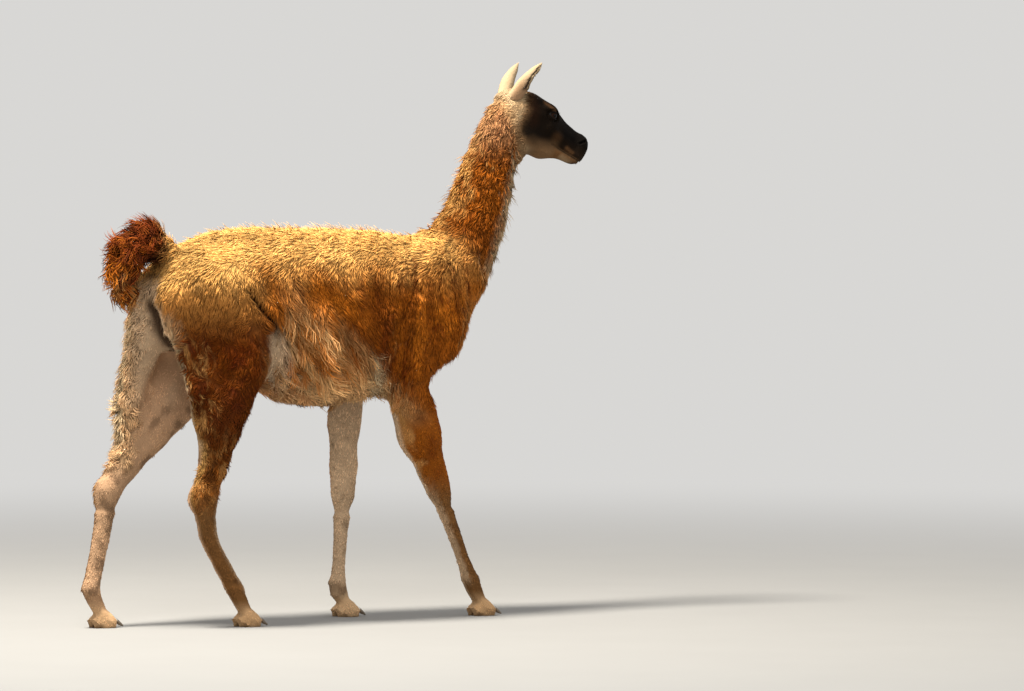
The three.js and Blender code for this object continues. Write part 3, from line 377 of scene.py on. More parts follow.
def makeSkin():
    parts, trunk = [], []  # the trunk's locks are too thin for the coarse voxels, so they drop away
    for name in fleshNodes:
        if name in ("neck", "tail"):
            continue
        obj = copyOfNode(name)
        large = name == "torso" or name.startswith(("hind_thigh", "fore_arm"))
        swell(obj.data, skin["swell" if large else "weld"])
        (trunk if large else parts).append(obj)
    parts.append(joined(trunk))
    useModifier(parts[-1], "REMESH", mode="VOXEL", voxel_size=skin["coarse"])
    useModifier(parts[-1], "SMOOTH", factor=0.5, iterations=6)
    swell(parts[-1].data, skin["weld"] - skin["swell"])
    parts += ballsAlong(throat, 0.8, 0.02) + ballsAlong(neckLine, 0.76, 0.02)
    parts += ballsAlong(tailFlesh, 1.0, 0.008)
    body = joined(parts)
    body.name = "skin"
    useModifier(body, "REMESH", mode="VOXEL", voxel_size=skin["voxel"])
    mesh = body.data
    co, n = places(mesh), normals(mesh)
    p, r, (forward, _, _) = regions(co, n)
    seam = r["leg"] * ramp(p[:, 2], 0.26, 0.3) * fade(p[:, 2], 0.38, 0.42)
    weight = 1 - 0.5 * r["leg"] * (1 - seam)
    weight = weight * (1 - 0.5 * r["foot"])
    onFace = r["head"] * ramp(forward, 0.02, 0.05)
    weigh(body, "soft", weight * (1 - onFace) + 0.05 * onFace, 20)
    useModifier(body, "SMOOTH", factor=0.5, iterations=skin["smoothing"], vertex_group="soft")
    weigh(body, "thinned", 1 - np.clip(r["head"] * ramp(forward, 0.0, 0.03) + 0.5 * r["foot"], 0, 1), 10)
    count = sum(len(f.vertices) - 2 for f in mesh.polygons)
    print("skin before thinning", count)
    useModifier(body, "DECIMATE", ratio=min(1, skin["faces"] / count), vertex_group="thinned")
    co, n = places(body.data), unit(normals(body.data))
    co = co - n * blended(regions(co, n)[1], coatDepth)[:, None]
    p, r, _ = regions(co, n)
    hip, neck, chest = folds(p, n, r)
    creases = skin["hipFold"] * hip + skin["neckCrease"] * neck + skin["chestCrease"] * chest
    co = co - n * creases[:, None]
    co = carveHead(co, n)
    sole = (co[:, 2] < 0.007) & (n[:, 2] < -0.5)
    co[sole, 2] = 0.0
    co[:, 2] = np.maximum(co[:, 2], 0.0)
    setPlaces(body.data, co)
    bpy.ops.object.shade_smooth()
    body.vertex_groups.clear()
    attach(body, "root")
    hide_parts(*fleshNodes)
    return body


body = makeSkin()
print("skin made", len(body.data.polygons), "faces")


# Shader writing: sums and products of sockets are written as expressions
class Wire:
    def __init__(self, shader, socket):
        self.shader = shader
        self.socket = socket

    def __add__(self, other):
        return self.shader.add("Math", {"operation": "ADD"}, {0: self, 1: other})

    def __mul__(self, other):
        return self.shader.add("Math", {"operation": "MULTIPLY"}, {0: self, 1: other})

    __radd__, __rmul__ = __add__, __mul__


class Shader:
    def __init__(self, name, roughness=0.8, **fixed):
        self.material = bpy.data.materials.new(name)
        self.material.use_nodes = True
        self.tree = self.material.node_tree
        self.surface = self.tree.nodes["Principled BSDF"]
        self.surface.inputs["Roughness"].default_value = roughness
        for key, value in fixed.items():
            self.surface.inputs[key.replace("_", " ")].default_value = value

    def add(self, kind, settings=None, inputs=None, output=0):
        node = self.tree.nodes.new("ShaderNode" + kind)
        for key, value in (settings or {}).items():
            setattr(node, key, value)
        for key, value in (inputs or {}).items():
            if isinstance(value, Wire):
                self.tree.links.new(value.socket, node.inputs[key])
            else:
                node.inputs[key].default_value = value
        return Wire(self, node.outputs[output])

    def feed(self, name, wire):
        self.tree.links.new(wire.socket, self.surface.inputs[name])

    def here(self):
        return self.add("TexCoord", output="Object")

    def stretched(self, scale):
        return self.add("Mapping", None, {"Vector": self.here(), "Scale": scale})

    def noise(self, scale, detail, where=None):
        inputs = {"Vector": where or self.here(), "Scale": scale, "Detail": detail, "Roughness": 0.55}
        return self.add("TexNoise", None, inputs)

    def spread(self, value, ends, start=(0.0, 1.0), **settings):  # what lies in start, spread over ends
        inputs = {"Value": value, "From Min": start[0], "From Max": start[1],
                  "To Min": ends[0], "To Max": ends[1]}
        return self.add("MapRange", settings, inputs)

    def blend(self, share, a, b, way="MIX"):
        settings = {"data_type": "RGBA", "blend_type": way}
        return self.add("Mix", settings, {0: share, 6: a, 7: b}, output=2)

    def feedMarks(self, shade):  # the markings, made lighter and darker by a shade
        marks = self.add("VertexColor", {"layer_name": "marks"})
        grey = self.add("CombineColor", None, {0: shade, 1: shade, 2: shade})
        self.feed("Base Color", self.blend(1.0, marks, grey, "MULTIPLY"))

    def bump(self, height, strength, distance):
        inputs = {"Height": height, "Strength": strength, "Distance": distance}
        self.feed("Normal", self.add("Bump", None, inputs))


def paint(*rgb):  # a colour as it is seen, 0 to 255, as the linear one that light is worked out with
    c = np.array(rgb, float) / 255
    return np.where(c <= 0.04045, c / 12.92, ((c + 0.055) / 1.055) ** 2.4)


def flat(colour):
    return (*[float(c) for c in colour], 1.0)


# Markings, the same for the skin and the coat over it
tints = {
    "ginger": paint(190, 107, 27),
    # the coat's gold as it looks lit from above and behind: partly its own colour, partly painted sunlight
    "gold": paint(238, 188, 110),
    "rust": paint(102, 42, 7),
    "umber": paint(54, 29, 13),
    "straw": paint(206, 150, 86),
    "strand": paint(238, 186, 124),
    "cream": paint(214, 190, 150),
    "wool": paint(250, 204, 152),
    "pale": paint(230, 197, 160),
    "grey": paint(226, 182, 142),
    "tan": paint(140, 98, 56),
    "tail": paint(116, 52, 18),
    "tailDark": paint(26, 13, 7),
    "soot": paint(11, 6, 3),
    "ash": paint(132, 92, 57),
    "olive": paint(72, 54, 30),
}


def markTrunk(lay, p, n, r, small):
    x, y, z = p.T
    neck, thigh, flank = r["neck"], r["thigh"], r["flank"]
    hip, neckCrease, chest = folds(p, n, r)
    body = (1 - r["head"]) * (1 - neck)
    wide = ripple(p, 0.16, 3)
    # A golden top over the back, laid more where the surface faces up: partly the coat's colour, partly
    # painted sunlight
    lay("gold", 0.95 * ramp(z + 0.03 * wide + 0.07 * n[:, 2], 0.92, 1.13) * body)
    sunk = (1 - r["top"]) * body * fade(z, 0.96, 1.1)
    streak = ripple(p * (2.2, 1.0, 0.5), 0.11, 5)
    lay("rust", 0.5 * ramp(streak + 0.9 * r["shoulder"], 0.2, 1.2) * sunk)
    lay("rust", 0.7 * strip(x, z, (0.16, 0.92), (0.21, 0.72), 0.11) * sunk)
    lay("rust", 0.8 * strip(x, z, (0.05, 0.84), (0.16, 0.72), 0.08) * sunk)
    lay("rust", 0.94 * thigh * ramp(z, 0.36, 0.6) * (0.88 + 0.12 * small))
    lay("umber", 0.35 * thigh * fade(z, 0.6, 0.78) * ramp(z, 0.36, 0.46))
    lay("tan", 0.75 * thigh * fade(z, 0.36, 0.46))
    hock = fade(x, -0.2, -0.1) * ramp(z, 0.2, 0.3) * fade(z, 0.46, 0.6)
    curls = ripple(p, 0.035, 31)
    lay("straw", 0.6 * hock * ramp(curls, 0.0, 0.8))
    lay("umber", 0.6 * hock * ramp(-curls, 0.0, 0.8))
    # Painted sunlight: the hock's rear-facing hair laid in the lit gold
    lay("gold", 0.6 * hock * ramp(-n[:, 0], 0.6, 0.95))
    locks = ripple(np.stack((0.8 * x + 0.6 * z, y, 0.09 * x - 0.12 * z), axis=1), 0.03, 37)
    lay("strand", flank * (0.6 + 0.6 * locks) * (0.7 + 0.3 * ramp(x, -0.1, 0.0)))
    lay("strand", 0.55 * flank * ramp(x, -0.08, 0.04) * fade(z, 0.68, 0.8))
    lay("cream", 0.3 * r["belly"])
    lay("umber", 0.75 * np.maximum(flank, r["belly"]) * ramp(small, 0.2, 0.9) * fade(z, 0.62, 0.7))
    lay("cream", 0.95 * strip(x, z, (0.15, 0.745), (0.205, 0.65), 0.034) * ramp(np.abs(y), 0.05, 0.1))
    # The lit gold over the rump, partly painted sunlight
    lay("gold", 0.45 * ramp(-x, 0.16, 0.24) * ramp(z, 0.8, 1.0) * body * (1 - r["tail"]))
    lay("rust", (0.38 + 0.2 * fade(z, 1.1, 1.2)) * neck * fade(z, 1.3, 1.42))
    # Painted sunlight: the neck's rear-facing side laid in the lit gold
    lay("gold", 0.6 * neck * ramp(-n[:, 0] + 0.2 * small, 0.4, 1.0))
    lay("tan", 0.5 * neck * ramp(z, 1.28, 1.42))
    lay("grey", 0.3 * neck * ramp(z, 1.3, 1.42))
    lay("cream", 0.85 * neck * ramp(n[:, 0] + 0.05 * small, 0.22, 0.74))
    lay("straw", 0.6 * r["front"] * body * (1 - r["leg"]))
    # Painted shade: the wool's creases on the neck and chest laid darker
    lay("rust", 0.9 * neckCrease + 0.85 * chest)
    lay("umber", 0.45 * neckCrease)
    return hip


def markLegs(lay, p, n, r, small, hip):
    x, y, z = p.T
    thigh, inner, wool, foot = r["thigh"], r["inner"], r["wool"], r["foot"]
    fore = ramp(x, -0.1, 0.0)
    leg, shank = r["lower"], r["shank"] * (1 - foot)
    lay("rust", 0.65 * leg * fore * ramp(z, 0.3, 0.42) * (0.7 + 0.3 * small))
    lay("straw", 0.7 * leg * fore * ramp(-n[:, 0] + 0.3 * small, 0.35, 0.9) * ramp(z, 0.36, 0.44))
    lay("tan", 0.95 * leg * ramp(0.43 - z, 0.0, 0.1))
    lay("umber", 0.4 * shank * ramp(small, 0.2, 1.0))
    lay("umber", 0.65 * shank * ramp(n[:, 0], 0.35, 0.85) * fore)
    lay("pale", 0.65 * shank * ramp(-n[:, 0], 0.1, 0.7) * fore)
    lay("pale", 0.6 * shank * ramp(n[:, 0], 0.2, 0.8) * (1 - fore))
    lay("grey", 0.95 * inner)
    lay("pale", 0.85 * inner * fore)
    lay("umber", 0.45 * inner * r["leg"] * ramp(ripple(p, 0.05, 33), 0.45, 1.0))
    lay("wool", wool)
    curled = ramp(-0.35 - x, 0.0, 0.05) * ramp(z, 0.42, 0.5) * fade(z, 0.76, 0.86) * (y < 0)
    curls = ripple(np.stack((0.9 * x + 0.4 * z, y, 0.1 * x - 0.25 * z), axis=1), 0.02, 35)
    lay("straw", 0.85 * curled * (1 - wool) * (1 - inner) * ramp(curls, -0.2, 0.7))
    lay("cream", 0.75 * thigh * ramp(-n[:, 0], 0.85, 0.98) * ramp(z, 0.48, 0.56))
    # The bare skin behind, and the cleft between the thighs, laid dark as painted shadow
    offMiddle, behind = np.abs(y - 0.005), ramp(-x, 0.34, 0.4)
    lay("pale", 0.9 * behind * ramp(z, 0.6, 0.68) * fade(z, 0.97, 1.01) * fade(offMiddle, 0.045, 0.075))
    # Painted shadow: a dark umber line down the cleft between the thighs
    lay("umber", 0.9 * behind * ramp(z, 0.56, 0.64) * fade(z, 0.93, 0.97) * fade(offMiddle, 0.008, 0.034))
    lay("pale", 1.3 * bareFlank(p, n))
    # Painted shade: the upper part of the fold before the thigh laid dark umber
    lay("umber", 1.2 * hip * ramp(z, 0.8, 0.86))
    lay("tan", 0.4 * foot * ramp(z, 0.05, 0.09))
    lay("olive", 0.25 * foot * ramp(z, 0.06, 0.1) * ramp(-n[:, 0], 0.2, 0.7))
    lay("wool", 0.7 * foot * fade(z, 0.04, 0.08))


def markTail(lay, p, n, tail):  # darker underneath as painted shade, lighter where it faces back as painted light, and lighter towards the tip
    z = p[:, 2]
    shadedUnderside = ramp(-n[:, 2] + 0.4 * n[:, 0], 0.0, 0.6)
    lay("tail", tail)
    # Painted shade: the tail's downward-facing underside laid darker
    lay("tailDark", 0.8 * tail * shadedUnderside)
    lay("tailDark", 0.75 * tail * ramp(ripple(p, 0.04, 41), -0.1, 0.7))
    # Painted light: the tail's side facing back laid lighter, in ginger
    lay("ginger", 0.95 * tail * ramp(-n[:, 0] + 0.3 * ripple(p, 0.03, 42), 0.5, 1.1) * fade(z, 1.06, 1.12))
    lay("ginger", 0.5 * tail * ramp(ripple(p, 0.03, 43), 0.3, 0.9) * (1 - shadedUnderside))
    lay("straw", 0.75 * tail * fade(z, 0.96, 1.05) * ramp(ripple(p, 0.03, 44), -0.4, 0.6))
    lay("straw", 0.75 * tail * ramp(n[:, 0] - n[:, 2], 0.5, 1.0) * fade(z, 1.01, 1.06))


def markHead(lay, head, forward, height, small):  # cream crown, black face, ash cheeks, pale lip and chin
    def line(name, most, start, end, width):
        lay(name, most * head * strip(forward, height, start, end, width))

    lay("cream", 0.9 * head)
    line("tan", 0.5, (0.0, 0.06), (-0.01, 0.0), 0.03)
    lay("ash", 0.85 * head * ramp(forward, 0.006, 0.03))
    lay("cream", 0.4 * head * fade(forward, 0.05, 0.12) * fade(height, -0.055, -0.03))
    edge = height - (-0.032 + 0.21 * (forward - 0.0735)) + 0.004 * small
    beyond = ramp(forward + 0.1 * height + 0.006 * small, 0.01, 0.056)
    lay("soot", 0.97 * head * beyond * ramp(edge, -0.02, 0.032))
    line("ash", 0.3, (0.15, 0.016), (0.2, 0.012), 0.026)
    line("umber", 0.5, (0.035, 0.09), (0.06, 0.03), 0.03)
    muzzle = head * ramp(forward, 0.15, 0.178)
    mouthEdge = height - (-0.0085 - 0.14 * (forward - 0.184))
    lay("soot", 0.9 * muzzle * ramp(mouthEdge, 0.0, 0.004))
    lay("ash", 0.9 * muzzle * fade(mouthEdge, -0.01, -0.003))
    line("cream", 0.35, (0.195, -0.028), (0.225, -0.034), 0.014)
    line("ash", 0.6, (0.196, 0.001), (0.218, -0.005), 0.011)
    line("soot", 0.8, (0.218, -0.044), (0.25, -0.03), 0.012)
    line("ash", 0.45, (0.074, 0.094), (0.112, 0.084), 0.01)
    # Painted shade: a dark line along the mouth's groove
    lay("soot", 0.9 * muzzle * strip(forward, height, (0.15, -0.006), (0.262, -0.021), 0.004))


def markings(co, n):
    p, r, (forward, height, _) = regions(co, n)
    small = ripple(p, 0.045, 4)
    colour = np.tile(tints["ginger"], (len(co), 1))

    def lay(name, share):
        share = np.clip(share, 0, 1)[:, None]
        colour[:] = colour + (tints[name] - colour) * share

    hip = markTrunk(lay, p, n, r, small)
    markLegs(lay, p, n, r, small, hip)
    markTail(lay, p, n, r["tail"])
    markHead(lay, r["head"], forward, height, small)
    lightness = 1 + 0.1 * ripple(p, 0.16, 3) + 0.08 * small
    return colour * np.clip(lightness, 0.6, 1.4)[:, None]


def setColours(mesh, colours):
    layer = mesh.color_attributes.new("marks", "FLOAT_COLOR", "POINT")
    rgba = np.ones((len(colours), 4), np.float32)
    rgba[:, :3] = colours
    layer.data.foreach_set("color", rgba.ravel())


studio = {
    "colour": (0.86, 0.85, 0.83), "strength": 0.8,
    "lamps": {  # place, target, size, power and colour
        "key": ((-1.9, -0.2, 6.0), (0, 0, 0.9), 1.4, 960, (1.0, 0.94, 0.84)),
        "side": ((-2.8, -3.6, 4.2), (0, 0, 0.8), 2.4, 120, (1.0, 0.96, 0.9)),
        "fill": ((3.8, -4.2, 2.0), (0.2, 0, 0.8), 3.0, 30, (0.95, 0.97, 1.0)),
    },
    "floorRadius": 90,
}


def makeSkinMaterial():
    s = Shader("skin", 0.75, Specular_IOR_Level=0.05)
    fine = s.noise(260, 4)
    s.feedMarks(s.spread(fine, (0.34, 0.62)))
    s.bump(fine + 0.5 * s.noise(900, 2), 0.5, 0.0015)
    return s.material


def makeCoatMaterial(name, roughness, contrast):
    s = Shader(name, roughness, Specular_IOR_Level=0.05)
    strand = s.noise(420, 3, s.stretched((1.0, 1.0, 0.35)))
    s.feedMarks(s.spread(strand, (1 - contrast, 1 + contrast), (0.3, 0.7)))
    s.feed("Roughness", roughness - 0.1 + 0.2 * strand)
    s.bump(strand, 0.4, 0.0008)
    return s.material


def makeFloorMaterial():  # pale, and far off it fades into the light around it, so that no horizon shows
    s = Shader("floor", 0.85, Emission_Strength=1.0, Specular_IOR_Level=0.0)
    far = s.add("VectorMath", {"operation": "LENGTH"}, {0: s.here()}, "Value")
    away = s.spread(far, (0.0, 1.0), (0.8, 7.5), interpolation_type="SMOOTHSTEP")
    light = s.spread(s.noise(3.0, 5), (0.262, 0.278))
    near = s.add("CombineColor", None, {0: light, 1: light * 0.99, 2: light * 0.965})
    s.feed("Base Color", s.blend(away, near, (0, 0, 0, 1)))
    glow = tuple(c * studio["strength"] for c in studio["colour"])
    s.feed("Emission Color", s.blend(away, (0, 0, 0, 1), (*glow, 1)))
    return s.material


def paintSkin(obj, colours):
    mesh = obj.data
    setColours(mesh, colours(places(mesh), unit(normals(mesh))))
    mesh.materials.clear()
    mesh.materials.append(skinMaterial)


skinMaterial = makeSkinMaterial()
coatMaterial = makeCoatMaterial("coat", 0.72, 0.16)
faceMaterial = makeCoatMaterial("short_coat", 0.62, 0.22)
paintSkin(body, markings)
print("skin painted")


# Eyes: a dark ball with a level pupil, under a clear wet front
eye = {
    "segments": 48, "rings": 32,
    "iris": paint(30, 16, 9), "irisSize": (0.0135, 0.0125),
    "pupil": paint(6, 5, 6), "pupilSize": (0.0085, 0.0045),
    "white": paint(14, 9, 7),
    "clearFront": 0.0012,  # how far it stands out
}


def makeEyeMaterial(name, centre, side):
    s = Shader("eye_" + name, 0.1, Coat_Weight=0.04, Coat_Roughness=0.03, Specular_IOR_Level=0.04)
    out, level, rise = eyeAxes(side)
    local = s.add("VectorMath", {"operation": "SUBTRACT"}, {0: s.here(), 1: tuple(centre)})

    def along(axis, scale):
        dot = s.add("VectorMath", {"operation": "DOT_PRODUCT"}, {0: local, 1: tuple(axis)}, "Value")
        return dot * (1 / scale)

    def outside(size, start):  # 0 within an oval on the front of the ball, 1 beyond it
        a, b = along(level, size[0]), along(rise, size[1])
        return s.spread(a * a + b * b, (0.0, 1.0), start)

    brown = s.blend(s.noise(500, 4), flat(eye["iris"] * 0.6), flat(eye["iris"] * 1.7))
    inner = s.blend(outside(eye["pupilSize"], (0.8, 1.15)), flat(eye["pupil"]), brown)
    s.feed("Base Color", s.blend(outside(eye["irisSize"], (0.85, 1.1)), inner, flat(eye["white"])))
    return s.material


def makeEye(name, side):
    low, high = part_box("eye_" + name)
    centre = (low + high) / 2
    radius = (high - low).z / 2
    deselect()
    bpy.ops.mesh.primitive_uv_sphere_add(segments=eye["segments"], ring_count=eye["rings"],
                                         radius=radius, location=centre)
    ball = bpy.context.active_object
    ball.name = "eyeball_" + name
    bpy.ops.object.transform_apply()
    out = eyeAxes(side)[0]
    co = places(ball.data)
    d = (co - np.array(centre)) @ out / radius
    setPlaces(ball.data, co + out * (ramp(d, 0.72, 1.0) * eye["clearFront"])[:, None])
    bpy.ops.object.shade_smooth()
    ball.data.materials.append(makeEyeMaterial(name, centre, side))
    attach(ball, "root")
    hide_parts("eye_" + name)


for name, side in sides.items():
    makeEye(name, side)


# Nails: dark worn horn, ringed along their length
nail = {"levels": 2, "horn": paint(62, 52, 44), "worn": paint(128, 112, 92)}


def makeNailMaterial():
    s = Shader("horn", 0.42, Specular_IOR_Level=0.45)
    rings = s.noise(210, 4, s.stretched((1.0, 0.25, 1.6)))
    s.feed("Base Color", s.blend(rings, flat(nail["horn"] * 0.7), flat(nail["worn"])))
    s.feed("Roughness", 0.34 + 0.3 * rings)
    s.bump(rings, 0.5, 0.0008)
    return s.material


hornMaterial = makeNailMaterial()
for name in [n for n in nodes if "nail" in n]:
    claw = copyOfNode(name)
    claw.name = "horn_" + name
    useModifier(claw, "SUBSURF", levels=nail["levels"], render_levels=nail["levels"])
    bpy.ops.object.shade_smooth()
    claw.data.materials.clear()
    claw.data.materials.append(hornMaterial)
    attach(claw, "root")
    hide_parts(name)
print("eyes and nails made")


# Ears: the solid's cup, smoothed, with its own fine coat
earLook = {
    "slitDepth": 0.003, "tufts": 90000,
    "length": 0.005, "width": 0.0017, "lift": 0.14, "clump": 0.1,
    "rim": paint(224, 196, 156), "back": paint(176, 130, 94), "inside": paint(52, 36, 26),
}


def earHeight(co, name):  # 0 at the root and 1 at the tip
    low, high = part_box("ear_" + name)
    return (co[:, 2] - low.z) / (high.z - low.z)


def earSlit(co, n, name):  # the opening is a slit ahead and outward, inside a pale rim, and its darkness is painted shade
    height = earHeight(co, name)
    facing = n @ (0.84, 0.54 * sides[name], 0.0)
    along = ramp(height, 0.22, 0.36) * fade(height, 0.86, 0.94)
    return ramp(facing, 0.34, 0.46) * fade(facing, 0.72, 0.84) * along


def makeEar(name):
    ear = copyOfNode("ear_" + name)
    ear.name = "earskin_" + name
    useModifier(ear, "SUBSURF", levels=2, render_levels=2)
    useModifier(ear, "SMOOTH", factor=0.5, iterations=4)
    co, n = places(ear.data), unit(normals(ear.data))
    setPlaces(ear.data, co - n * (earLook["slitDepth"] * earSlit(co, n, name))[:, None])
    bpy.ops.object.shade_smooth()
    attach(ear, "root")
    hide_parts("ear_" + name)
    return ear


def earColours(co, n, name):
    colour = np.tile(earLook["back"], (len(co), 1))
    out = n[:, 1] * sides[name]
    browner = 0.7 * ramp(out, 0.2, 0.8) * fade(earHeight(co, name), 0.3, 0.8)  # outside, towards the root
    colour += (earLook["rim"] - colour) * (1 - browner)[:, None]
    # Painted shade: the slit laid dark, as the shadow inside the ear's opening
    colour += (earLook["inside"] - colour) * (0.92 * earSlit(co, n, name))[:, None]
    return colour


ears = {name: makeEar(name) for name in sides}
for name, ear in ears.items():
    paintSkin(ear, lambda co, n: earColours(co, n, name))


# Lid rims: a dark wet edge that hugs the ball round each opening
lidRim = {"thickness": 0.09, "lower": 0.86, "corners": 0.22, "proud": 0.0009, "rise": 0.018}


def makeLid(name, side):
    deselect()
    bpy.ops.mesh.primitive_torus_add(major_segments=56, minor_segments=10,
                                     major_radius=1.0, minor_radius=lidRim["thickness"])
    lid = bpy.context.active_object
    lid.name = "lid_" + name
    co = places(lid.data)
    angle = np.arctan2(co[:, 1], co[:, 0])
    ring = np.linalg.norm(co[:, :2], axis=1) - 1
    wide, tall = face["opening"]
    tall = np.where(np.sin(angle) > 0, tall, tall * lidRim["lower"])
    a = np.cos(angle) * wide * (1 + ring * 0.9)
    b = np.sin(angle) * tall * (1 + ring * 1.3) * (1 - lidRim["corners"] * np.cos(angle) ** 4)
    setPlaces(lid.data, overEye(name, side, a, b, lidRim["proud"] + co[:, 2] * lidRim["rise"]))
    if side > 0:
        makeActive(lid)
        bpy.ops.object.mode_set(mode="EDIT")
        bpy.ops.mesh.select_all(action="SELECT")
        bpy.ops.mesh.normals_make_consistent()
        bpy.ops.object.mode_set(mode="OBJECT")
    makeActive(lid)
    bpy.ops.object.shade_smooth()
    lid.data.materials.append(lidMaterial)
    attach(lid, "root")


def makeLidMaterial():
    s = Shader("lid", 0.45, Specular_IOR_Level=0.12)
    grain = s.noise(700, 4)
    s.feed("Base Color", s.blend(grain, flat(paint(8, 6, 5)), flat(paint(20, 14, 11))))
    s.bump(grain, 0.5, 0.0005)
    return s.material


lidMaterial = makeLidMaterial()
for name, side in sides.items():
    makeLid(name, side)


# Coat: solid tufts from arrays, rooted in the skin, that follow the lie of the hair
def lieOfCoat(p, n, r):
    x, y, z = p.T
    high = ramp(z, 0.94, 1.11)
    flank = ramp(x, -0.26, -0.09) * fade(x, 0.1, 0.28)
    low = fade(z, 0.64, 0.9)
    forward = 0.95 * flank * (0.45 + 0.55 * low) * (1 - high)
    back = 1.5 * high + 0.25 * (1 - flank) * fade(x, 0.3, 0.42)
    lie = np.stack((forward - back, np.zeros(len(p)), -1 + 0.75 * high), axis=1)

    def turnTo(way, share):
        lie[:] = lie + (way - lie) * share[:, None]

    turnTo((-0.62, 0.0, -1.0), r["neck"])
    turnTo((-0.1, 0.0, -1.0), r["leg"])
    turnTo((0.5, 0.0, -0.7), r["foot"])
    turnTo(-headForward - 0.45 * headUp, r["head"])
    turnTo(tailWay(p), r["tail"])
    lie -= n * np.sum(lie * n, axis=1, keepdims=True)
    return unit(lie)


tailLine = np.array(((-0.402, 0.0, 1.03), (-0.444, 0.001, 1.074), (-0.496, 0.004, 1.094),
                     (-0.55, 0.008, 1.068), (-0.572, 0.012, 1.01), (-0.558, 0.014, 0.956),
                     (-0.544, 0.014, 0.93)))
tailHollow = (-0.475, 0.01, 0.985)  # the middle of the space under the tail's arch


def tailWay(p):
    ways = np.diff(tailLine, axis=0)
    middles = (tailLine[1:] + tailLine[:-1]) / 2
    nearness = 1 / (np.linalg.norm(p[:, None] - middles[None], axis=2) ** 4 + 1e-9)
    return unit(nearness @ unit(ways)) + np.array((0, 0, -0.25))


# What a tuft is like in each region, in metres; lift is how far it stands off as a share of its length.
# Each region lies over the ones before it.
coat = {
    "measures": ("length", "width", "lift", "wave", "swing", "clump"),
    "back": (0.031, 0.0041, 0.20, 0.10, 0.24, 0.25),
    "thigh": (0.021, 0.0040, 0.28, 0.18, 0.65, 0.45),
    "flank": (0.090, 0.0040, 0.13, 0.13, 0.20, 0.62),
    "belly": (0.046, 0.0046, 0.20, 0.30, 0.55, 0.55),
    "neck": (0.027, 0.0041, 0.26, 0.14, 0.40, 0.45),
    "inner": (0.010, 0.0032, 0.12, 0.05, 0.30, 0.20),
    "wool": (0.034, 0.0044, 0.42, 0.28, 0.70, 0.55),
    "lower": (0.011, 0.0030, 0.16, 0.05, 0.28, 0.25),
    "foot": (0.008, 0.0026, 0.16, 0.05, 0.25, 0.20),
    "head": (0.012, 0.0026, 0.20, 0.05, 0.30, 0.25),
    "face": (0.0056, 0.0017, 0.14, 0.03, 0.22, 0.15),
    "tail": (0.054, 0.0052, 0.37, 0.34, 0.50, 0.50),
}
tuft = {"sunk": 0.0012, "taper": (0.5, 0.46, 0.34, 0.22), "base": 0.8, "ridge": 0.62, "tipTone": 1.12}
variety = {  # the ends of what a tuft's measures are multiplied by, and the share of tufts that stand up
    "length": (0.75, 1.2), "width": (0.7, 1.3), "lift": (0.5, 1.5), "tone": (0.8, 1.2),
    "strays": 0.1, "strayLift": 1.7,
}


def coatLook(r, measure):
    column = coat["measures"].index(measure)
    return blended(r, {name: row[column] for name, row in coat.items() if name != "measures"})


def unwrapPlaces(p, n, r):  # the skin laid flat, one cell for each length of the body, round its own axis
    x, y, z = p.T
    cells = [  # which places, how far along from 0 to 1, and the angle round
        (np.ones(len(p), bool), (x + 0.5) / 1.1, np.arctan2(y, z - 0.86)),
        (r["neck"] > 0.5, (z - 0.95) / 0.55, np.arctan2(y, x - 0.45 - 0.5 * (z - 0.95))),
        (r["head"] > 0.5, (x - 0.66) / 0.32, np.arctan2(y + 0.03, z - 1.43)),
        (r["tail"] > 0.5, np.arctan2(z - 1.0, x + 0.51) / (2 * math.pi) + 0.5, np.arctan2(y, n[:, 0])),
    ]
    for ahead, side in ((-1, -1), (-1, 1), (1, -1), (1, 1)):
        here = (r["leg"] > 0.5) & (x * ahead > 0) & (y * side > 0)
        cells.append((here, z / 0.66, np.arctan2(n[:, 1], n[:, 0])))
    uv = np.zeros((len(p), 2))
    for i, (here, along, around) in enumerate(cells):
        u = (i % 2 + 0.02 + 0.96 * np.clip(along, 0, 1)) / 2
        v = (i // 2 + 0.02 + 0.96 * (around / (2 * math.pi) + 0.5)) / 4
        uv[here] = np.stack((u, v), axis=1)[here]
    return uv


def scatter(obj, density):  # roots spread over the skin, tufts per square metre at each face
    mesh = obj.data
    mesh.calc_loop_triangles()
    corners = np.empty(len(mesh.loop_triangles) * 3, np.int32)
    mesh.loop_triangles.foreach_get("vertices", corners)
    corners = corners.reshape(-1, 3)
    co, n = places(mesh), normals(mesh)
    a, b, c = (co[corners[:, i]] for i in range(3))
    area = np.linalg.norm(np.cross(b - a, c - a), axis=1) / 2
    wanted = area * density((a + b + c) / 3, unit(n[corners].sum(axis=1)))
    count = np.floor(wanted + draw.random(len(area))).astype(int)
    which = np.repeat(np.arange(len(area)), count)
    s, t = draw.random(len(which)), draw.random(len(which))
    over = s + t > 1
    s[over], t[over] = 1 - s[over], 1 - t[over]
    weights = np.stack((1 - s - t, s, t), axis=1)[:, :, None]
    return (co[corners[which]] * weights).sum(axis=1), unit((n[corners[which]] * weights).sum(axis=1))


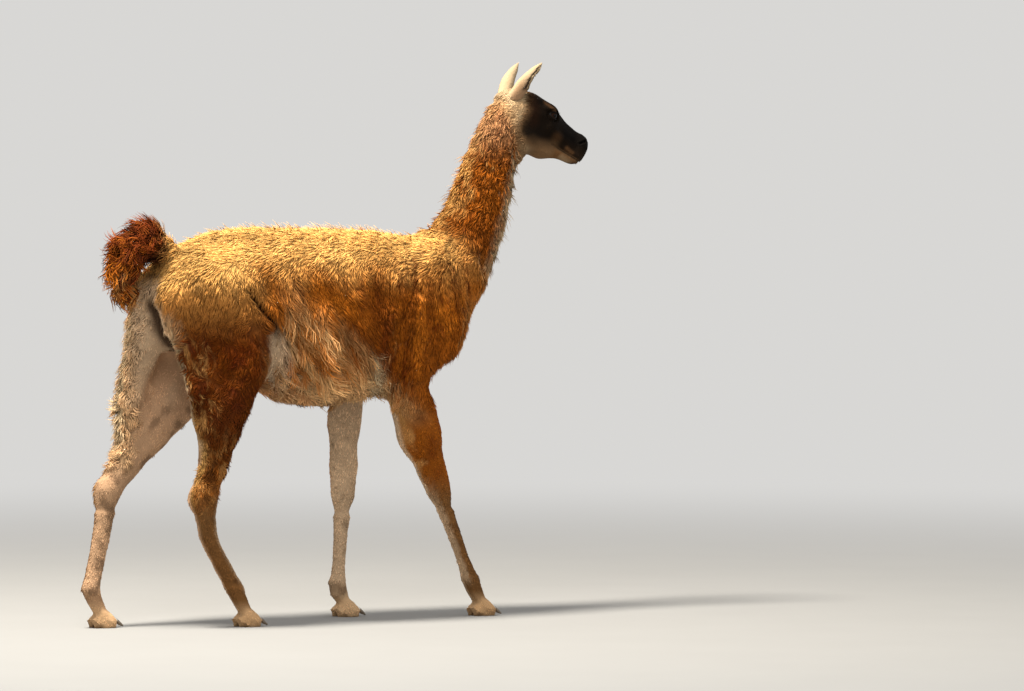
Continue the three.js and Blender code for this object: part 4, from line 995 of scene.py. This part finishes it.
def makeTufts(name, root, steps, material):
    count, rings = len(root["co"]), len(steps)
    co, n, way, side = root["co"], root["n"], root["way"], root["side"]
    length, width = root["length"][:, None], root["width"][:, None]
    points = np.zeros((count, 3 * rings + 1, 3))
    shade = np.zeros((count, 3 * rings + 1))
    for i, t in enumerate([*steps, 1.0]):
        swerve = root["wave"] * np.sin(2 * math.pi * (root["turns"] * t + root["phase"])) * t
        rise = root["lift"] * (1.45 * t - 0.45 * t * t)
        centre = co - n * tuft["sunk"] + way * length * t * (1 - 0.12 * root["lift"][:, None] * t)
        centre += n * length * rise[:, None] + side * length * swerve[:, None] + root["pull"] * t ** 1.5
        if i == rings:
            points[:, 3 * i] = centre
            shade[:, 3 * i] = 1
            break
        half = width * tuft["taper"][i if rings > 2 else 2 * i] * (tuft["base"] if i == 0 else 1)
        points[:, 3 * i] = centre + side * half
        points[:, 3 * i + 1] = centre + n * half * tuft["ridge"]
        points[:, 3 * i + 2] = centre - side * half
        shade[:, 3 * i:3 * i + 3] = t
    points[:, :, 2] = np.maximum(points[:, :, 2], 0.0004)
    one = [(0, 2, 1)]
    for i in range(rings - 1):
        for a, b in ((0, 1), (1, 2), (2, 0)):
            one += [(3 * i + a, 3 * i + b, 3 * i + 3 + b), (3 * i + a, 3 * i + 3 + b, 3 * i + 3 + a)]
    last = 3 * (rings - 1)
    one += [(last + a, last + b, 3 * rings) for a, b in ((0, 1), (1, 2), (2, 0))]
    one = np.array(one)
    per = 3 * rings + 1
    faces = (one[None] + np.arange(count)[:, None, None] * per).reshape(-1, 3)
    mesh = bpy.data.meshes.new(name)
    mesh.vertices.add(count * per)
    mesh.vertices.foreach_set("co", points.astype(np.float32).ravel())
    mesh.loops.add(len(faces) * 3)
    mesh.loops.foreach_set("vertex_index", faces.astype(np.int32).ravel())
    mesh.polygons.add(len(faces))
    mesh.polygons.foreach_set("loop_start", np.arange(0, len(faces) * 3, 3, dtype=np.int32))
    mesh.polygons.foreach_set("use_smooth", np.ones(len(faces), bool))
    mesh.update(calc_edges=True)
    # Painted shade: each tuft darker at its root, as the shade deep in the coat, and lighter at its tip
    dark = root["dark"][:, None]
    tone = (dark + (tuft["tipTone"] - dark) * shade ** 0.8) * root["tone"][:, None]
    setColours(mesh, (root["colour"][:, None, :] * tone[:, :, None]).reshape(-1, 3))
    corner = np.zeros((per, 2))
    corner[:, 1] = [i // 3 / rings for i in range(per)]
    corner[:, 0] = [(0.5, 0.0, -0.5)[i % 3] for i in range(per)]
    corner[-1] = (0, 1)
    uv = np.clip(root["uv"][:, None, :] + (corner - (0, 0.5)) * 0.003, 0.0005, 0.9995)
    layer = mesh.uv_layers.new(name="OFBake")
    layer.data.foreach_set("uv", uv.reshape(-1, 2)[faces.ravel()].astype(np.float32).ravel())
    mesh.materials.append(material)
    obj = linked(name, mesh)
    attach(obj, "root")
    return obj


def rootsOn(obj, density, clumpSize, colours=None):
    co, n = scatter(obj, density)
    p, r, _ = regions(co, n)
    root = {"co": co, "n": n, "colour": (colours or markings)(co, n), "uv": unwrapPlaces(p, n, r)}
    for key in ("length", "width", "lift", "wave"):
        root[key] = coatLook(r, key)
    count = len(co)
    every = max(1, int(count * clumpSize))
    chosen = draw.choice(count, max(1, count // every), replace=False)
    tree = kdtree.KDTree(len(chosen))
    for i, k in enumerate(chosen):
        tree.insert(co[k], i)
    tree.balance()
    nearest = np.array([tree.find(q)[1] for q in co])
    own = draw.normal(size=len(chosen))
    angle = 0.75 * own[nearest] + 0.45 * ripple(p, 0.07, 8) + 0.3 * draw.normal(size=count)
    angle *= coatLook(r, "swing")
    way = lieOfCoat(p, n, r)
    across = np.cross(n, way)
    root["way"] = way * np.cos(angle)[:, None] + across * np.sin(angle)[:, None]
    root["side"] = np.cross(n, root["way"])
    pull = co[chosen][nearest] - co
    pull -= n * np.sum(pull * n, axis=1, keepdims=True)
    root["pull"] = pull * coatLook(r, "clump")[:, None]
    tall = draw.uniform(*variety["length"], len(chosen))[nearest] * draw.uniform(*variety["length"], count)
    root["length"] *= tall
    root["width"] *= draw.uniform(*variety["width"], count)
    root["lift"] *= draw.uniform(*variety["lift"], count)
    stray = (draw.random(count) < variety["strays"]) * np.clip(r["top"] + r["neck"], 0, 1) * (1 - r["tail"])
    root["lift"] *= 1 + variety["strayLift"] * stray
    hip, _, _ = folds(p, n, r)
    root["length"] *= 1 - 0.75 * bareFlank(p, n)
    root["length"] *= 1 - 0.6 * hip
    within = np.sum(unit(tailHollow - p) * n, axis=1)  # the hair inside the tail's arch is shorter
    root["length"] *= 1 - 0.2 * r["tail"] * ramp(within, -0.1, 0.5)
    root["phase"] = draw.random(len(chosen))[nearest] + 0.15 * draw.random(count)
    root["turns"] = draw.uniform(0.6, 1.2, size=len(chosen))[nearest]
    clumpTone = 1 + (0.14 + 0.16 * r["flank"]) * draw.uniform(-1, 1, size=len(chosen))[nearest]
    root["tone"] = clumpTone * draw.uniform(*variety["tone"], count)
    # Painted shade: how dark the tuft roots are, darker on the flank and belly, less on the neck and thigh
    root["dark"] = 0.4 - 0.16 * np.clip(r["flank"] + r["belly"] + 0.7 * (r["neck"] + r["thigh"]), 0, 1)
    return root


def growCoat(name, root, steps, material, most=190000):
    perTuft = 1 + 6 * (len(steps) - 1) + 3
    pieces = max(1, math.ceil(len(root["co"]) * perTuft / most))
    order = np.argsort(root["co"][:, 0])
    for i, which in enumerate(np.array_split(order, pieces)):
        part = {key: value[which] for key, value in root.items()}
        obj = makeTufts(f"{name}_{i + 1}" if pieces > 1 else name, part, steps, material)
    print(name, len(root["co"]), "tufts in", pieces, "pieces", len(root["co"]) * perTuft, "triangles")


thin = 1.0  # a sparse coat while trying things
few, many = (0.0, 0.5), (0.0, 0.3, 0.6, 0.85)  # where a tuft's rings are, before its tip
coatPieces = {  # tufts per square metre, the share of them that a clump holds, rings, material and slot
    "fleece": (46000, 0.0004, few, coatMaterial, "coat"),
    "strands": (32000, 0.002, many, coatMaterial, "coat"),
    "legs": (60000, 0.0005, few, faceMaterial, "coat"),
    "face": (180000, 0.0004, few, faceMaterial, "face"),
    "tail": (90000, 0.0045, many, coatMaterial, "tail_coat"),
}


def eyeGap(co):  # no hair on the eyeballs
    gap = np.ones(len(co))
    for name, side in sides.items():
        d = co - eyeCentre(name)
        _, level, rise = eyeAxes(side)
        m = np.sqrt((d @ level / face["opening"][0]) ** 2 + (d @ rise / face["opening"][1]) ** 2)
        gap *= np.where(np.linalg.norm(d, axis=1) < 0.035, ramp(m, 1.25, 1.6), 1)
    return gap


def tuftDensity(piece, co, n):
    _, r, _ = regions(co, n)
    bare = np.clip(r["head"] + r["tail"] + r["lower"], 0, 1)
    strands = np.maximum(r["flank"], r["belly"]) * (1 - r["leg"])
    crown = r["head"] * (1 - r["face"])
    share = {
        "fleece": (1 - bare) * (1 - 0.8 * strands),
        "strands": strands,
        "legs": r["lower"] * ramp(co[:, 2], 0.004, 0.012) + 1.2 * crown,
        "face": r["face"] * eyeGap(co),
        "tail": r["tail"],
    }
    return thin * coatPieces[piece][0] * share[piece]


for piece, (_, clumpSize, steps, material, slot) in coatPieces.items():
    root = rootsOn(body, lambda co, n: tuftDensity(piece, co, n), clumpSize)
    growCoat("coat_" + piece, root, steps, material)


# Ears: the same short down all over, less of it in the slit
for name, ear in ears.items():
    root = rootsOn(ear, lambda co, n: thin * earLook["tufts"] * (1 - 0.95 * np.sqrt(earSlit(co, n, name))),
                   0.002, lambda co, n: earColours(co, n, name))
    low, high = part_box("ear_" + name)
    tip = np.array((low + high) / 2) + np.array((0.3, 0.0, 1.0)) * 0.06
    way = unit(tip + np.array((0.5, 0, 0.8)) - root["co"])
    way -= root["n"] * np.sum(way * root["n"], axis=1, keepdims=True)
    root["way"] = unit(way)
    root["side"] = np.cross(root["n"], root["way"])
    for key in ("length", "width", "lift"):
        root[key] = np.full(len(root["co"]), earLook[key])
    root["length"] *= draw.uniform(0.7, 1.3, len(root["co"]))
    root["pull"] *= earLook["clump"]
    growCoat("coat_ear_" + name, root, few, faceMaterial)


# Lashes, long and dark, from the upper lids
lash = {
    "length": 0.013, "width": 0.0007, "lift": 0.3, "wave": 0.0,
    "turns": 0.0, "phase": 0.0, "tone": 1.0, "dark": 0.8,
}


def growLashes(name, side, count=46):
    out, level, rise = eyeAxes(side)
    angle = np.linspace(0.12, 0.88, count) * math.pi
    a = np.cos(angle) * face["opening"][0] * 1.02
    b = np.sin(angle) * face["opening"][1] * 1.05
    co = overEye(name, side, a, b, 0.001)
    way = unit(out * 0.8 + rise * 0.25 + level * (np.cos(angle) * 0.5)[:, None] - np.array((0, 0, 0.25)))
    n = unit(np.cross(way, np.cross(rise[None], way)))
    root = {"co": co, "n": n, "way": way, "side": np.cross(n, way), "pull": np.zeros((count, 3)),
            "uv": np.stack((np.linspace(0.1, 0.9, count), np.full(count, 0.5)), axis=1),
            "colour": np.tile(tints["soot"] * 0.5, (count, 1))}
    for key, value in lash.items():
        root[key] = np.full(count, value)
    root["length"] *= draw.uniform(0.8, 1.2, count)
    makeTufts("lashes_" + name, root, (0.0, 0.4), faceMaterial)


for name, side in sides.items():
    growLashes(name, side)
print("coat grown")


# Camera, floor and light
photo = {
    "width": 1024, "height": 691,
    "floorPoint": (300, 621),  # where the floor under the animal's middle shows, in pixels
    "turn": -33.0, "rise": 2.0, "distance": 20.0,
    "focal": 7000.0,  # pixels
}


def makeCamera():
    a, e = math.radians(photo["turn"]), math.radians(photo["rise"])
    back = np.array((math.sin(a) * math.cos(e), -math.cos(a) * math.cos(e), math.sin(e)))
    right = np.array((math.cos(a), math.sin(a), 0.0))
    up = np.cross(back, right)
    scale = photo["distance"] / photo["focal"]
    across = (photo["floorPoint"][0] - photo["width"] / 2) * scale
    down = (photo["floorPoint"][1] - photo["height"] / 2) * scale
    place = shift * (1, 1, 0) + back * photo["distance"] - right * across + up * down
    camera = bpy.data.cameras.new("camera")
    camera.sensor_width = 36
    camera.lens = photo["focal"] / photo["width"] * 36
    camera.clip_end = 200
    obj = linked("camera", camera)
    frameOfView = Matrix([[*right, 0], [*up, 0], [*back, 0], [0, 0, 0, 1]]).transposed()
    obj.matrix_world = Matrix.Translation(Vector(place)) @ frameOfView
    bpy.context.scene.camera = obj


def makeLight(name, place, target, size, power, colour):
    lamp = bpy.data.lights.new(name, "AREA")
    lamp.shape = "DISK"
    lamp.size = size
    lamp.energy = power
    lamp.color = colour
    obj = linked(name, lamp)
    obj.location = place
    obj.rotation_euler = (Vector(target) - Vector(place)).to_track_quat("-Z", "Y").to_euler()


makeCamera()
deselect()
bpy.ops.mesh.primitive_circle_add(vertices=96, radius=studio["floorRadius"], fill_type="NGON",
                                  location=(0, 0, -0.0005))
floor = bpy.context.active_object
floor.name = "floor"
bpy.ops.object.transform_apply()
floor.data.materials.append(makeFloorMaterial())
for name, lamp in studio["lamps"].items():
    makeLight(name, *lamp)
bpy.context.scene.view_settings.view_transform = "Standard"
world = bpy.data.worlds.new("studio")
bpy.context.scene.world = world
world.use_nodes = True
world.node_tree.nodes["Background"].inputs["Color"].default_value = (*studio["colour"], 1)
world.node_tree.nodes["Background"].inputs["Strength"].default_value = studio["strength"]
